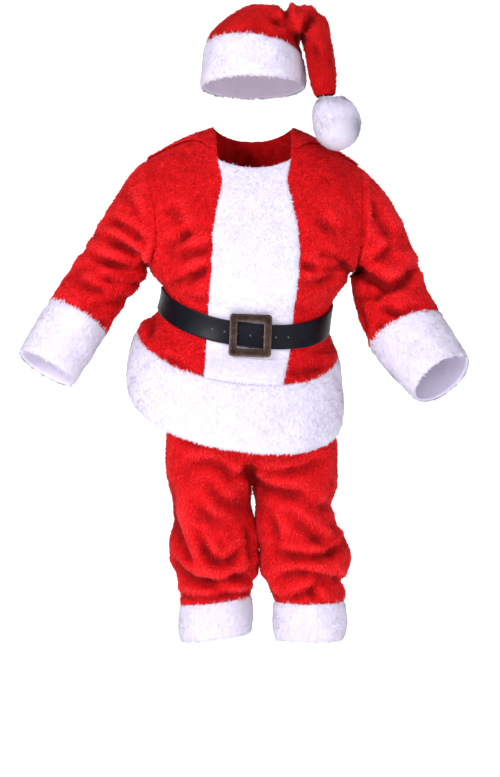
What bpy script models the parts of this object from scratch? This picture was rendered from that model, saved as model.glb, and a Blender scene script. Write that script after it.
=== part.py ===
"""Worn, hollow santa suit: jacket with plush front strip, hem band and cuffs, trousers, hat and belt.

Every cloth piece is a thin wall built on one smooth form, and the forms come from short tables of
sections. Sizes are in millimetres in the tables and are scaled to metres when a mesh is made.
Frame: +Z up, the front of the suit faces -Y, +X is the suit's left. The origin is the centre of
the neck, level with the base of the collar, where the jacket is carried.
"""
import math

import bpy
import numpy as np

MM = 0.001
GAP = 0.2            # each edge is drawn back this far, so two seamed pieces stand 0.4 apart
RED = (-1.5, 1.5)    # short red plush: wall limits about the form, inside and outside
WHITE = (-1.5, 8.0)  # deep white plush, whose pile stands out further than the red
PRESSED = 2.5        # height of the white pile under the belt
SQUARE = 2.3         # how square the body sections are: 2 is an ellipse

# ------------------------------------------------------------------ sections of the jacket body
# z: height of the section at the sides; cx: its centre; w: half width; front, back: depths;
# dip: how far the front hangs below the sides; roll: left side over right side; yaw: degrees turned
BACK_LIFT = 0.3      # rise of a section at the back, as a share of its dip at the front
BODY_COLUMNS = ("z", "cx", "w", "front", "back", "dip", "roll", "yaw")
BODY = [
    (-620, -36, 249, 202, 184, 97, 30, 6.2),
    (-575, -36, 254, 208, 188, 100, 28, 6.1),
    (-515, -35, 248, 204, 180, 101, 26, 5.8),
    (-462, -31, 237, 193, 168, 100, 24, 5.2),
    (-440, -26, 230, 185, 160, 96, 23, 4.9),
    (-408, -17, 200, 171, 141, 87, 22, 4.3),
    (-374, -10, 197, 168, 137, 75, 22, 3.4),
    (-342, -6, 199, 170, 140, 62, 18, 3.0),
    (-322, -4, 213, 184, 150, 52, 12, 2.8),
    (-304, -1, 230, 196, 160, 42, 7, 2.6),
    (-286, 2, 242, 200, 166, 32, 4, 2.4),
    (-262, 5, 262, 197, 164, 22, 2, 2.2),
    (-225, 7, 281, 187, 158, 12, 0, 2.0),
    (-160, 7, 302, 162, 148, 4, 0, 2.0),
    (-100, 7, 316, 133, 136, 0, 0, 2.0),
    (-40, 7, 320, 103, 112, 0, 0, 2.0),
    (60, 7, 320, 74, 66, 0, 0, 2.0),
]
HEM_Z, BAND_TOP_Z, ARMPIT_Z = -620.0, -462.0, -286.0
NECK_X, NECK_Z = 90.0, 48.0            # where the shoulder seam meets the neck
SHOULDER_X = 256.0
SHOULDER_Z = {-1: -30.0, 1: -44.0}     # outer end of the shoulder seam, by side
SHOULDER_ROUND = 112.0                 # height over which the shoulder rolls from front to back
NECK_LIFT = 55.0                       # how far the form rises inside the neck opening
BACK_NECK_DIP = 20.0

# half width of the plush strip down the front, then the neckline, by height
EDGE_COLUMNS = ("z", "half")
FRONT_EDGE = [(-620, 88), (-462, 91), (-374, 99), (-300, 99), (-262, 101), (-200, 98), (-140, 86), (-85, 76),
              (-40, 84), (0, 88), (48, 90), (70, 90)]
# distance of the armhole from the centre by height, by side
ARMHOLE = {-1: [(-286, 242), (-268, 239), (-225, 229), (-170, 232), (-110, 244), (-60, 254), (60, 256)],
           1: [(-286, 242), (-262, 247), (-225, 250), (-160, 253), (-100, 255), (60, 256)]}

# ------------------------------------------------------------------ sleeves
# centre of each section, its half size across the arm and front to back, and share of the way along
CAP_END = 0.42       # share of the sleeve's length at which its cap has become a plain tube
UNDER_GAP = 4.5      # clearance between sleeve and body where they fold together under the arm
CAP_DROP, UNDER_DROP = 0.8, -0.15    # slope at which the sleeve leaves the shoulder and the underarm
ARM_COLUMNS = ("x", "y", "z", "across", "deep")
SLEEVE = {
    -1: [(-262, -14, -168, 112, 96), (-292, -18, -222, 88, 88), (-317, -24, -268, 78, 82), (-352, -34, -318, 74, 78),
         (-384, -46, -364, 74, 76), (-408, -58, -405, 75, 74)],
    1: [(276, 2, -176, 100, 96), (300, -2, -230, 80, 88), (318, -8, -285, 77, 84), (329, -18, -332, 82, 82),
        (346, -38, -386, 87, 82), (370, -66, -440, 90, 82)],
}
CUFF = {
    -1: [(-411, -59, -410, 71, 71), (-432, -70, -446, 72, 70), (-458, -84, -490, 71, 70), (-478, -96, -524, 70, 69)],
    1: [(373, -69, -445, 86, 78), (392, -90, -474, 84, 76), (418, -118, -512, 79, 74), (444, -146, -548, 73, 71)],
}

# ------------------------------------------------------------------ trousers
# per leg: centre, half width and half depth of each section, from the cuff up to the crotch
LEG_COLUMNS = ("z", "x", "y", "half", "deep")
LEG = {
    -1: [(-1079, -82, 8, 80, 82), (-1062, -82, 10, 86, 88), (-1040, -80, 10, 84, 88), (-1018, -79, 12, 95, 98),
         (-990, -85, 14, 104, 106), (-955, -87, 14, 103, 104), (-900, -89, 12, 99, 104), (-850, -92, 10, 97, 110),
         (-806, -97, 10, 98, 116)],
    1: [(-1081, 142, 2, 80, 82), (-1062, 137, 6, 88, 90), (-1040, 131, 8, 86, 88), (-1018, 127, 10, 96, 98),
        (-990, 133, 12, 106, 106), (-950, 128, 12, 104, 104), (-905, 112, 12, 95, 102), (-850, 103, 10, 92, 110),
        (-806, 107, 10, 100, 116)],
}
CROTCH_Z, SEAT_X = -806.0, 4.0
# hips: half width either side of the centre seam, front and back depth, and centre
HIP_COLUMNS = ("z", "cx", "w", "front", "back")
HIP = [(-806, 6, 200, 128, 140), (-740, 2, 205, 138, 146), (-660, -8, 196, 136, 140), (-560, -14, 178, 128, 126),
       (-470, -12, 160, 118, 112), (-404, -10, 152, 112, 106)]
WAIST_Z, WAISTBAND_H = -442.0, 40.0
TROUSER_CUFF = {
    -1: [(-1165, -82, 8, 81, 81), (-1130, -82, 8, 83, 83), (-1080, -82, 8, 80, 82)],
    1: [(-1170, 143, 2, 79, 80), (-1130, 144, 2, 83, 83), (-1082, 142, 2, 80, 82)],
}
CUFF_SLOPE = {-1: 0.13, 1: 0.0}  # the hem of the suit's right leg rises towards the inseam

# ------------------------------------------------------------------ hat
# lower and upper ring of the plush band: centre, half width, half depth, rise to the front, drop to the suit's left
BAND_COLUMNS = ("x", "y", "z", "half", "deep", "rise", "drop")
HAT_BAND = [(7, 4, 152, 121, 128, 8, 0), (8, 4, 176, 120, 127, 13, -2), (9, 6, 206, 117, 124, 19, -8),
            (9, 8, 233, 112, 118, 25, -14)]
# crown: the outer and inner edge of each section in the plane of the head, its half depth and its y
CROWN_COLUMNS = ("outer_x", "outer_z", "inner_x", "inner_z", "deep", "y", "rise")
CROWN = [
    (-103, 247.5, 121, 219.5, 118.4, 8, 25), (-96, 264, 121, 227, 116, 8, 25), (-76, 290, 120, 235, 112, 8, 22),
    (-38, 319, 118, 243, 104, 7, 17), (12, 338, 117, 251, 94, 5, 11), (58, 338, 118, 259, 83, 2, 5),
    (92, 334, 122, 266, 73, -3, 0), (124, 336, 128, 267, 63, -8, 0), (154, 326, 134, 263, 55, -14, 0),
    (176, 306, 138, 255, 48, -22, 0), (187, 270, 140, 243, 42, -31, 0), (194, 226, 140, 218, 37, -42, 0),
    (199, 182, 140, 182, 32, -54, 0), (200, 146, 147, 147, 27, -66, 0), (198, 124, 160, 118, 19, -74, 0),
]
POMPOM = {"x": 205.0, "y": -90.0, "z": 55.0, "rx": 57.0, "ry": 57.0, "rz": 66.0, "seat": 26.0}

# ------------------------------------------------------------------ belt
BELT_W, BELT_T = 57.0, 3.0
BELT_Z = -375.0
BELT_OFF = 5.5        # inner face of the strap over the cloth form
BELT_LIFT = 4.4       # how far the free end lies over the fixed end
BELT_START = 4.0      # where the fixed end begins, just beyond the bar of the buckle
TAIL_DEG = 41.0       # how far past the buckle the free end reaches, as an angle round the body
BUCKLE = {"out": 98.0, "win": 61.0, "thick": 4.5, "round": 9.0, "bar": 7.0, "tilt": 2.0, "stand": 3.6}


# ================================================================== small tools
def smooth(rows, col, key=0):
    """Monotone cubic through one column of a table, as a function of its key column."""
    t = np.array(sorted((float(r[key]), float(r[col])) for r in rows))
    x, y = t[:, 0], t[:, 1]
    h, d = np.diff(x), np.diff(y) / np.diff(x)
    m = np.zeros(len(x))
    m[0], m[-1] = d[0], d[-1]
    for i in range(1, len(x) - 1):
        if d[i - 1] * d[i] > 0:
            a, b = 2 * h[i] + h[i - 1], h[i] + 2 * h[i - 1]
            m[i] = (a + b) / (a / d[i - 1] + b / d[i])

    def f(q):
        q = np.clip(np.asarray(q, float), x[0], x[-1])
        i = np.clip(np.searchsorted(x, q, side="right") - 1, 0, len(x) - 2)
        s = (q - x[i]) / h[i]
        return ((1 + 2 * s) * (1 - s) ** 2 * y[i] + s * (1 - s) ** 2 * h[i] * m[i]
                + s * s * (3 - 2 * s) * y[i + 1] + s * s * (s - 1) * h[i] * m[i + 1])
    return f


def along(rows):
    """Smooth path through a table of sections, by share of its length from 0 to 1."""
    t = np.array(rows, float)
    d = np.concatenate([[0], np.cumsum(np.linalg.norm(np.diff(t[:, :3], axis=0), axis=1))])
    d /= d[-1]
    fs = [smooth(list(zip(d, t[:, k])), 1) for k in range(t.shape[1])]
    return lambda v: np.stack([f(v) for f in fs], axis=-1)


def unit(v):
    return v / np.maximum(np.linalg.norm(v, axis=-1, keepdims=True), 1e-12)


def normals(f, u, v, eu=1e-3, ev=1e-3):
    du = f(u + eu, v) - f(u - eu, v)
    dv = f(u, v + ev) - f(u, v - ev)
    return unit(np.cross(du, dv))


def draw_back(p, closed, ends=(True, True), gap=GAP):
    """Moves the edges of a grid of points in by the seam gap."""
    q = p.copy()
    if ends[0]:
        q[0] += gap * unit(p[1] - p[0])
        q[-1] += gap * unit(p[-2] - p[-1])
    if ends[1] and not closed:
        q[:, 0] += gap * unit(p[:, 1] - p[:, 0])
        q[:, -1] += gap * unit(p[:, -2] - p[:, -1])
    return q


def material(name, colour, rough, metal=0.0):
    m = bpy.data.materials.get(name) or bpy.data.materials.new(name)
    m.use_nodes = True
    b = m.node_tree.nodes["Principled BSDF"]
    b.inputs["Base Color"].default_value = (*colour, 1)
    b.inputs["Roughness"].default_value = rough
    b.inputs["Metallic"].default_value = metal
    m.diffuse_color = (*colour, 1)
    return m


def to_object(name, verts, faces, mat):
    mesh = bpy.data.meshes.new(name)
    mesh.from_pydata([tuple(c * MM for c in v) for v in verts], [], faces)
    mesh.validate()
    mesh.update()
    mesh.shade_smooth()
    mesh.set_sharp_from_angle(angle=math.radians(40))
    mesh.materials.append(mat)
    obj = bpy.data.objects.new(name, mesh)
    bpy.context.scene.collection.objects.link(obj)
    return obj


def wall(name, p, n, limits, mat, closed=False):
    """A closed wall about a grid p[row, column] with unit directions n, from limits[0] to limits[1]."""
    rows, cols = p.shape[:2]
    limits = (limits[0], np.array(limits[1], float).reshape(-1, 1, 1))
    verts = np.concatenate([(p + limits[1] * n).reshape(-1, 3), (p + limits[0] * n).reshape(-1, 3)])
    k, faces = rows * cols, []

    def at(j, i):
        return j * cols + i % cols
    for j in range(rows - 1):
        for i in range(cols if closed else cols - 1):
            a, b, c, d = at(j, i), at(j, i + 1), at(j + 1, i + 1), at(j + 1, i)
            faces += [(a, b, c), (a, c, d), (a + k, c + k, b + k), (a + k, d + k, c + k)]
    for i in range(cols if closed else cols - 1):
        a, b = at(0, i), at(0, i + 1)
        faces += [(a, a + k, b + k), (a, b + k, b)]
        a, b = at(rows - 1, i), at(rows - 1, i + 1)
        faces += [(a, b, b + k), (a, b + k, a + k)]
    if not closed:
        for j in range(rows - 1):
            a, b = at(j, 0), at(j + 1, 0)
            faces += [(a, b, b + k), (a, b + k, a + k)]
            a, b = at(j, cols - 1), at(j + 1, cols - 1)
            faces += [(a, a + k, b + k), (a, b + k, b)]
    # the walls are wound so that n points out; turn them round if the volume says otherwise
    v, f = verts, np.array(faces)
    volume = np.einsum("ij,ij->i", v[f[:, 0]], np.cross(v[f[:, 1]], v[f[:, 2]])).sum()
    if volume < 0:
        faces = [t[::-1] for t in faces]
    return to_object(name, verts, faces, mat)


# ================================================================== jacket form
body = {c: smooth(BODY, i) for i, c in enumerate(BODY_COLUMNS) if i}
front_edge = smooth(FRONT_EDGE, 1)
armhole_x = {side: smooth(ARMHOLE[side], 1) for side in (-1, 1)}


def shoulder_line(x):
    """Height of the form's top over x: the sloping shoulder seam, rising a little inside the neck."""
    x = np.asarray(x, float)
    ax = np.abs(x)
    out = np.where(x < 0, SHOULDER_Z[-1], SHOULDER_Z[1])
    f = (ax - NECK_X) / (SHOULDER_X - NECK_X)
    slope = NECK_Z + (out - NECK_Z) * f + 7 * np.sin(math.pi * np.clip(f, 0, 1))
    return np.where(ax < NECK_X, NECK_Z + NECK_LIFT * (1 - (ax / NECK_X) ** 2), slope)


def local_body(theta, z):
    """Point of the body form before it is hung and turned; theta runs round from the front centre."""
    w = body["w"](z)
    s, c = np.sin(theta), np.cos(theta)
    x = w * np.sign(s) * np.abs(s) ** (2 / SQUARE)
    d = np.where(c > 0, body["front"](z), body["back"](z)) * np.abs(c) ** (2 / SQUARE)
    h = np.clip((shoulder_line(x) - z) / SHOULDER_ROUND, 0, 1)
    y = -np.sign(c) * d * np.sqrt(np.clip(1 - (1 - h) ** 2, 0, 1))
    return x, y


def place_body(x, y, z):
    """Hangs and turns a point of the body form."""
    f = np.clip(-y / body["front"](z), -1, 1)
    zw = z - body["dip"](z) * np.where(f > 0, np.abs(f) ** 1.3, -BACK_LIFT * np.abs(f) ** 1.3) - body["roll"](z) * x / body["w"](z)
    a = np.radians(body["yaw"](z))
    return np.stack([x * np.cos(a) - y * np.sin(a) + body["cx"](z), x * np.sin(a) + y * np.cos(a), zw], axis=-1)


def body_form(theta, z):
    x, y = local_body(theta, z)
    return place_body(x, y, z)


def theta_of(x, z):
    return np.arcsin(np.clip((np.abs(x) / body["w"](z)) ** (SQUARE / 2), 0, 1))


LOWER_Z = [-462, -440, -424, -408, -374, -342, -330, -318, -302, -286]   # rows from the hem band up to the armpit
BAND_Z = [-620, -600, -570, -530, -495, -462]
N_UP = 9                                                                     # rows from the armpit to the shoulder
UP = [(1 - math.cos(math.pi * k / N_UP)) / 2 for k in range(N_UP + 1)]
NECK_ROW = 7                                                                 # the row at which the front strip ends
F_COLS = [0, 0.17, 0.34, 0.5, 0.66, 0.82, 1.0]                               # columns of a front, strip to side
P_COLS = [-1, -0.5, 0, 0.5, 1]                                               # columns of the strip
B_MID = [0, 0.14]                                                            # columns of the back inside the neck
S_NECK = 0.27


def top_z(x):
    return np.where(np.abs(x) < NECK_X - 0.5, NECK_Z - BACK_NECK_DIP * (1 - (np.abs(x) / NECK_X) ** 2), shoulder_line(x))


def upper_grid(s, side, back):
    """theta and z of the rows between the armpit and the shoulder, for columns s of one side."""
    s = np.array(s, float)
    th, zz = [], []
    for c in UP:
        if back:
            lin = np.where(s < S_NECK, NECK_X * s / S_NECK, NECK_X + (SHOULDER_X - NECK_X) * (s - S_NECK) / (1 - S_NECK))
        else:
            lin = NECK_X + (SHOULDER_X - NECK_X) * s
        z_top = top_z(side * lin) if back else shoulder_line(side * np.maximum(lin, NECK_X))
        z = ARMPIT_Z + (z_top - ARMPIT_Z) * c
        xa = armhole_x[side](z)
        t_out = theta_of(xa, z)
        if back:
            x_even = body["w"](z) * np.sin(t_out * s) ** (2 / SQUARE)
            x_lin = lin * xa / SHOULDER_X
        else:
            xi = front_edge(z)
            t_in = theta_of(xi, z)
            x_even = body["w"](z) * np.sin(t_in + (t_out - t_in) * s) ** (2 / SQUARE)
            x_lin = xi + (xa - xi) * s
        x = x_even * (1 - c) + x_lin * c
        t = np.where(s >= 1, t_out, theta_of(x, z))
        th.append(t)
        zz.append(z)
    return np.array(th), np.array(zz)


def lower_grid(s, back):
    z = np.array(LOWER_Z[:-1], float)[:, None] + 0 * np.array(s)[None]
    if back:
        return math.pi / 2 * np.array(s)[None] + 0 * z, z
    t_in = theta_of(front_edge(z), z)
    return t_in + (math.pi / 2 - t_in) * np.array(s)[None], z


def seam_up(x):
    e = 0.5
    dz = shoulder_line(x + e) - shoulder_line(x - e)
    return unit(np.stack([-dz / (2 * e), 0 * dz, 1 + 0 * dz], axis=-1))


def body_normals(theta, z):
    n = normals(lambda u, v: body_form(u, v), theta, z, 2e-3, 0.4)
    return n


def front_piece(side):
    lt, lz = lower_grid(F_COLS, False)
    ut, uz = upper_grid(F_COLS, side, False)
    th, z = np.concatenate([lt, ut]), np.concatenate([lz, uz])
    p, n = body_form(side * th, z), body_normals(side * th, z)
    x, _ = local_body(side * th[-1], z[-1])
    n[-1] = seam_up(x)
    return th, z, p, n


def back_piece():
    cols = B_MID + [S_NECK + (1 - S_NECK) * f for f in F_COLS]
    left, right = [], []
    for side in (-1, 1):
        lt, lz = lower_grid(cols, True)
        ut, uz = upper_grid(cols, side, True)
        th, z = np.concatenate([lt, ut]), np.concatenate([lz, uz])
        (left if side < 0 else right).extend([th, z])
    th = np.concatenate([-(math.pi - left[0][:, ::-1]), (math.pi - right[0][:, 1:])], axis=1)
    z = np.concatenate([left[1][:, ::-1], right[1][:, 1:]], axis=1)
    p, n = body_form(th, z), body_normals(th, z)
    x, _ = local_body(th[-1], z[-1])
    up = seam_up(x)
    on = np.abs(x) >= NECK_X - 0.5
    n[-1][on] = up[on]
    return th, z, p, n, cols


# ================================================================== sleeves
def arm_frame(path, v):
    """Centre, across and front directions of a section."""
    c = path(v)
    t = unit(path(np.clip(v + 0.02, 0, 1))[..., :3] - path(np.clip(v - 0.02, 0, 1))[..., :3])
    front = np.array([0.0, -1.0, 0.0]) - t * (-t[..., 1:2])
    front = unit(front)
    return c, t, front


def arm_ring(path, side, ang, v):
    """ang 0 is the outer side of the arm, a quarter turn is the front."""
    c, t, front = arm_frame(path, v)
    across = unit(np.cross(front, t)) * side
    flip = np.sign((across * np.array([side, 0, 0.3])).sum(-1, keepdims=True))
    across = across * flip
    return (c[..., :3] + across * (c[..., 3:4] * np.cos(ang)[..., None]) + front * (c[..., 4:5] * np.sin(ang)[..., None]))


def ring_angles(loop, path, side):
    """Angle round the first section for each point of the armhole."""
    n = len(loop)
    return np.arange(n) * 2 * math.pi / n


def sleeve_grid(side, loop, caps, vs, path):
    """Rows from the armhole over the cap of the sleeve (shares caps), then down the arm (shares vs)."""
    n = len(loop)
    ang = np.arange(n) * 2 * math.pi / n
    end = arm_ring(path, side, ang, np.full(n, CAP_END))
    t = arm_frame(path, np.full(n, CAP_END))[1]
    top = ((1 + np.cos(ang)) / 2)[:, None]
    start = unit(np.concatenate([side + 0 * top, 0 * top, -(UNDER_DROP + (CAP_DROP - UNDER_DROP) * top)], axis=1))
    loop = loop + side * UNDER_GAP * (1 - top) ** 1.5 * np.array([1.0, 0.0, 0.0])
    reach = np.linalg.norm(end - loop, axis=1, keepdims=True)
    rows = []
    for s in caps:
        rows.append((1 + 2 * s) * (1 - s) ** 2 * loop + s * (1 - s) ** 2 * reach * start
                    + s * s * (3 - 2 * s) * end + s * s * (s - 1) * reach * t)
    for v in vs:
        rows.append(arm_ring(path, side, ang, np.full(n, v)))
    return np.array(rows)


def grid_normals(p, closed):
    """Directions at the points of a grid, out of a tube whose columns run round it."""
    du = (np.roll(p, -1, 1) - np.roll(p, 1, 1)) if closed else np.gradient(p, axis=1)
    return unit(np.cross(du, np.gradient(p, axis=0)))


def outward(p, n):
    c = p.mean(axis=1, keepdims=True)
    return n if ((p - c) * n).sum() > 0 else -n


# ================================================================== build
for old in list(bpy.data.objects):
    bpy.data.objects.remove(old)

red = material("red_plush", (0.62, 0.012, 0.012), 0.75)
white = material("white_plush", (0.86, 0.84, 0.9), 0.85)
black = material("belt_vinyl", (0.015, 0.015, 0.02), 0.35)
bronze = material("antique_brass", (0.16, 0.12, 0.085), 0.5, 0.9)

fronts = {s: front_piece(s) for s in (-1, 1)}
b_th, b_z, b_p, b_n, b_cols = back_piece()
n_low = len(LOWER_Z) - 1

# armholes: down the front edge from the shoulder to the armpit, then up the back edge
loops, torso_dirs = {}, {}
for side in (-1, 1):
    f_edge, f_dir = fronts[side][2][n_low:, -1], fronts[side][3][n_low:, -1]
    col = 0 if side < 0 else -1
    k_edge, k_dir = b_p[n_low:, col], b_n[n_low:, col]
    loops[side] = np.concatenate([f_edge[::-1], k_edge[1:-1]])
    torso_dirs[side] = np.concatenate([f_dir[::-1], k_dir[1:-1]])

SLEEVE_CAP = [0, 0.24, 0.44, 0.63, 0.82, 1.0]
SLEEVE_V = [0.54, 0.66, 0.78, 0.89, 1.0]
for side, word in ((-1, "right"), (1, "left")):
    path = along(SLEEVE[side])
    p = sleeve_grid(side, loops[side], SLEEVE_CAP, SLEEVE_V, path)
    n = outward(p, grid_normals(p, True))
    # mitred where the sleeve goes on in the torso's direction, and drawn back where it folds under the arm
    body_dir, sleeve_dir = torso_dirs[side], n[1].copy()
    turn_cos = (body_dir * sleeve_dir).sum(-1, keepdims=True)
    mitre, m_w = unit(body_dir + sleeve_dir), np.clip(turn_cos / 0.5, 0, 1)
    n[0] = unit(mitre * m_w + sleeve_dir * (1 - m_w))
    edge_dir = unit(mitre * m_w + body_dir * (1 - m_w))
    th, z, fp, fn = fronts[side]
    k = len(UP)
    fn[n_low:, -1] = edge_dir[:k][::-1]
    col = 0 if side < 0 else -1
    b_n[n_low:, col] = np.concatenate([edge_dir[k - 1:], edge_dir[:1]])
    wall(f"sleeve_{word}", draw_back(p, True), n, RED, red, closed=True)
    cuff = along(CUFF[side])
    vs = [0, 0.25, 0.5, 0.75, 1.0]
    m = len(loops[side])
    ang = np.arange(m) * 2 * math.pi / m
    cp = np.array([arm_ring(cuff, side, ang, np.full(m, v)) for v in vs])
    cp[0] = p[-1]
    cn = outward(cp, grid_normals(cp, True))
    cn[0] = n[-1]
    wall(f"cuff_{word}", draw_back(cp, True), cn, WHITE, white, closed=True)

for side, word in ((-1, "right"), (1, "left")):
    th, z, p, n = fronts[side]
    wall(f"jacket_front_{word}", draw_back(p, False), n, RED, red)
wall("jacket_back", draw_back(b_p, False), b_n, RED, red)

# plush strip down the front, from the hem band to the neckline
rows = n_low + NECK_ROW
s_z = fronts[1][1][:rows, 0]
zz = s_z[:, None] + 0 * np.array(P_COLS)[None]
edge = theta_of(front_edge(zz), zz)
pt = edge * np.array(P_COLS)[None]
zz = zz - np.where(np.arange(rows)[:, None] == rows - 1, 20.0, 0.0) * (1 - np.array(P_COLS)[None] ** 2)
# the belt presses the pile of the strip flat where it crosses
pile = np.where((s_z > -409) & (s_z < -341), PRESSED, WHITE[1])
wall("front_strip", draw_back(body_form(pt, zz), False), body_normals(pt, zz), (WHITE[0], pile), white)

# hem band, in a front and a back length joined at the side seams
t0 = theta_of(front_edge(BAND_TOP_Z), BAND_TOP_Z)
f_th = [float(t0 + (math.pi / 2 - t0) * s) for s in F_COLS]
f_cols = [-t for t in f_th[::-1]] + [float(t0 * s) for s in P_COLS[1:-1]] + f_th
k_cols = [math.pi / 2 * s for s in b_cols]
k_cols = [-(math.pi - t) for t in k_cols[::-1]] + [math.pi - t for t in k_cols[1:]]
for name, cols in (("hem_band_front", f_cols), ("hem_band_back", k_cols)):
    tt = np.array(cols)[None] + 0 * np.array(BAND_Z)[:, None]
    zb = np.array(BAND_Z, float)[:, None] + 0 * tt
    wall(name, draw_back(body_form(tt, zb), False), body_normals(tt, zb), WHITE, white)

# ------------------------------------------------------------------ collar
# it lies over the shoulders: x and roll angle (0 on the shoulder seam, + to the front) of its two edges
COLLAR_COLUMNS = ("q", "x_in", "roll_in", "x_out", "roll_out")
COLLAR = [(0.0, 0, -72, 0, -103), (0.16, 42, -66, 70, -102), (0.3, 74, -48, 138, -98), (0.42, 87, -26, 196, -86),
          (0.52, 91, -10, 238, -46), (0.6, 92, 2, 248, -8), (0.68, 92, 12, 236, 9), (0.77, 91.5, 24, 196, 15),
          (0.86, 90.5, 36, 152, 26), (0.94, 89, 49, 120, 41), (1.0, 87.5, 60, 101, 57)]
LAID = (5.5, 8.5)


def rolled(x, g):
    """Point of the body form at x and roll angle g over the shoulder."""
    a = np.abs(g)
    drop = np.where(a < math.pi / 2, 1 - np.cos(a), 1 + (a - math.pi / 2)) * SHOULDER_ROUND
    z = shoulder_line(x) - drop
    t = theta_of(x, z)
    w = body["w"](z)
    d = np.where(g > 0, body["front"](z), body["back"](z)) * np.abs(np.cos(t)) ** (2 / SQUARE)
    y = -np.sign(g) * d * np.where(a < math.pi / 2, np.sin(a), 1.0)
    return place_body(x, y, z)


qs = np.array([0, 0.16, 0.3, 0.38, 0.44, 0.49, 0.53, 0.57, 0.61, 0.66, 0.72, 0.79, 0.88, 1.0])
cf = [smooth(COLLAR, k) for k in range(1, 5)]
js = [0, 0.3, 0.55, 0.8, 1.0]


def collar_form(q, j):
    a = np.abs(q)
    x = cf[0](a) * (1 - j) + cf[2](a) * j
    g = np.radians(cf[1](a) * (1 - j) + cf[3](a) * j)
    return rolled(np.sign(q) * x, g)


qq = np.concatenate([-qs[::-1], qs[1:]])[None] + 0 * np.array(js)[:, None]
jj = np.array(js)[:, None] + 0 * qq
cp = collar_form(qq, jj)
cn = unit(np.cross(np.gradient(cp, axis=1), np.gradient(cp, axis=0)))
cn = cn * np.sign((cn * (cp - np.array([7.0, 0.0, -140.0]))).sum(-1, keepdims=True))
wall("collar", cp, cn, LAID, red)

# ------------------------------------------------------------------ trousers
hip = {c: smooth(HIP, i) for i, c in enumerate(HIP_COLUMNS) if i}
LEG_COLS = 16


def leg_form(side, u, z):
    """One trouser leg: u runs from the inseam round the front, the outer side and the back to the inseam."""
    leg = {c: smooth(LEG[side], i) for i, c in enumerate(LEG_COLUMNS) if i}
    zc = np.minimum(z, CROTCH_Z)
    a = 2 * math.pi * u
    cx, cy, w, d = (leg[c](zc) for c in LEG_COLUMNS[1:])
    x = cx - side * w * np.cos(a)
    y = cy - d * np.sin(a)
    # over the crotch the section opens into half of the hips
    rise = np.clip((z - CROTCH_Z) / (HIP[-1][0] - CROTCH_Z), 0, 1)
    k = np.sin(np.clip(rise / 0.42, 0, 1) * math.pi / 2) ** 0.75
    hz = np.maximum(z, CROTCH_Z)
    b = math.pi * u
    hx = SEAT_X * (1 - rise) + hip["cx"](hz) * rise + side * hip["w"](hz) * np.abs(np.sin(b)) ** 0.9 * np.sign(np.sin(b) + 1e-9)
    hy = -np.where(b < math.pi / 2, hip["front"](hz), hip["back"](hz)) * np.sign(np.cos(b)) * np.abs(np.cos(b)) ** 0.9
    return np.stack([x * (1 - k) + hx * k, y * (1 - k) + hy * k, z + 0 * x], axis=-1)


LEG_Z = [-1062, -1040, -1018, -990, -955, -915, -860, -806, -798, -782, -755, -715, -640, -540, -442]
for side, word in ((-1, "right"), (1, "left")):
    us = np.linspace(0, 1, LEG_COLS + 1)
    zs = np.array([LEG[side][0][0]] + LEG_Z, float)
    uu = us[None] + 0 * zs[:, None]
    zz = zs[:, None] + 0 * uu
    p = leg_form(side, uu, zz)
    seat = np.array([SEAT_X, 12.0, 0.0])
    low = zz <= CROTCH_Z
    slope = CUFF_SLOPE[side] * np.clip((-1000 - zz) / 80, 0, 1)
    p[..., 2] += slope * (p[..., 0] - LEG[side][0][1])
    # above the crotch the ends of a section lie on the centre seam
    for j, zv in enumerate(zs):
        if zv > CROTCH_Z:
            for i in (0, -1):
                p[j, i, 0] = SEAT_X + (hip["cx"](zv) - SEAT_X) * np.clip((zv - CROTCH_Z) / (HIP[-1][0] - CROTCH_Z), 0, 1)
    ext = np.concatenate([p[:, -2:-1], p, p[:, 1:2]], axis=1)
    du = ext[:, 2:] - ext[:, :-2]
    for j, zv in enumerate(zs):
        if zv > CROTCH_Z:
            du[j, 0], du[j, -1] = np.array([side, 0, 0.0]), np.array([-side, 0, 0.0])
    n = unit(np.cross(du, np.gradient(p, axis=0)))
    n = outward(p, n)
    # the seams' own directions keep the two edges of a seam in one plane
    for j, zv in enumerate(zs):
        for i, sgn in ((0, -1.0), (-1, 1.0)):
            if zv > CROTCH_Z:
                v = n[j, i].copy()
                v[0] = 0
                n[j, i] = unit(v)
            else:
                v = (n[j, 0] + n[j, -1]) * 1.0
                n[j, i] = unit(v) if i == 0 else n[j, 0]
    q = draw_back(p, False)
    q[:, 0, 0] = np.where(zs > CROTCH_Z, p[:, 0, 0] + side * 0.3, q[:, 0, 0])
    q[:, -1, 0] = np.where(zs > CROTCH_Z, p[:, -1, 0] + side * 0.3, q[:, -1, 0])
    wall(f"trouser_leg_{word}", q, n, RED, red)
    # plush cuff of the leg
    t = TROUSER_CUFF[side]
    cs = [smooth(t, k) for k in range(1, 5)]
    zs = np.array([t[0][0], -1145, -1110, t[2][0] + 1.0])
    uu = (np.arange(LEG_COLS) / LEG_COLS)[None] + 0 * zs[:, None]
    zz = zs[:, None] + 0 * uu
    a = 2 * math.pi * uu
    cp = np.stack([cs[0](zz) - side * cs[2](zz) * np.cos(a), cs[1](zz) - cs[3](zz) * np.sin(a), zz], axis=-1)
    cp[..., 2] += CUFF_SLOPE[side] * (cp[..., 0] - LEG[side][0][1])
    cp[-1] = p[0, :-1]
    cn = outward(cp, grid_normals(cp, True))
    cn[-1] = n[0, :-1]
    wall(f"trouser_cuff_{word}", draw_back(cp, True), cn, WHITE, white, closed=True)

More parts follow.
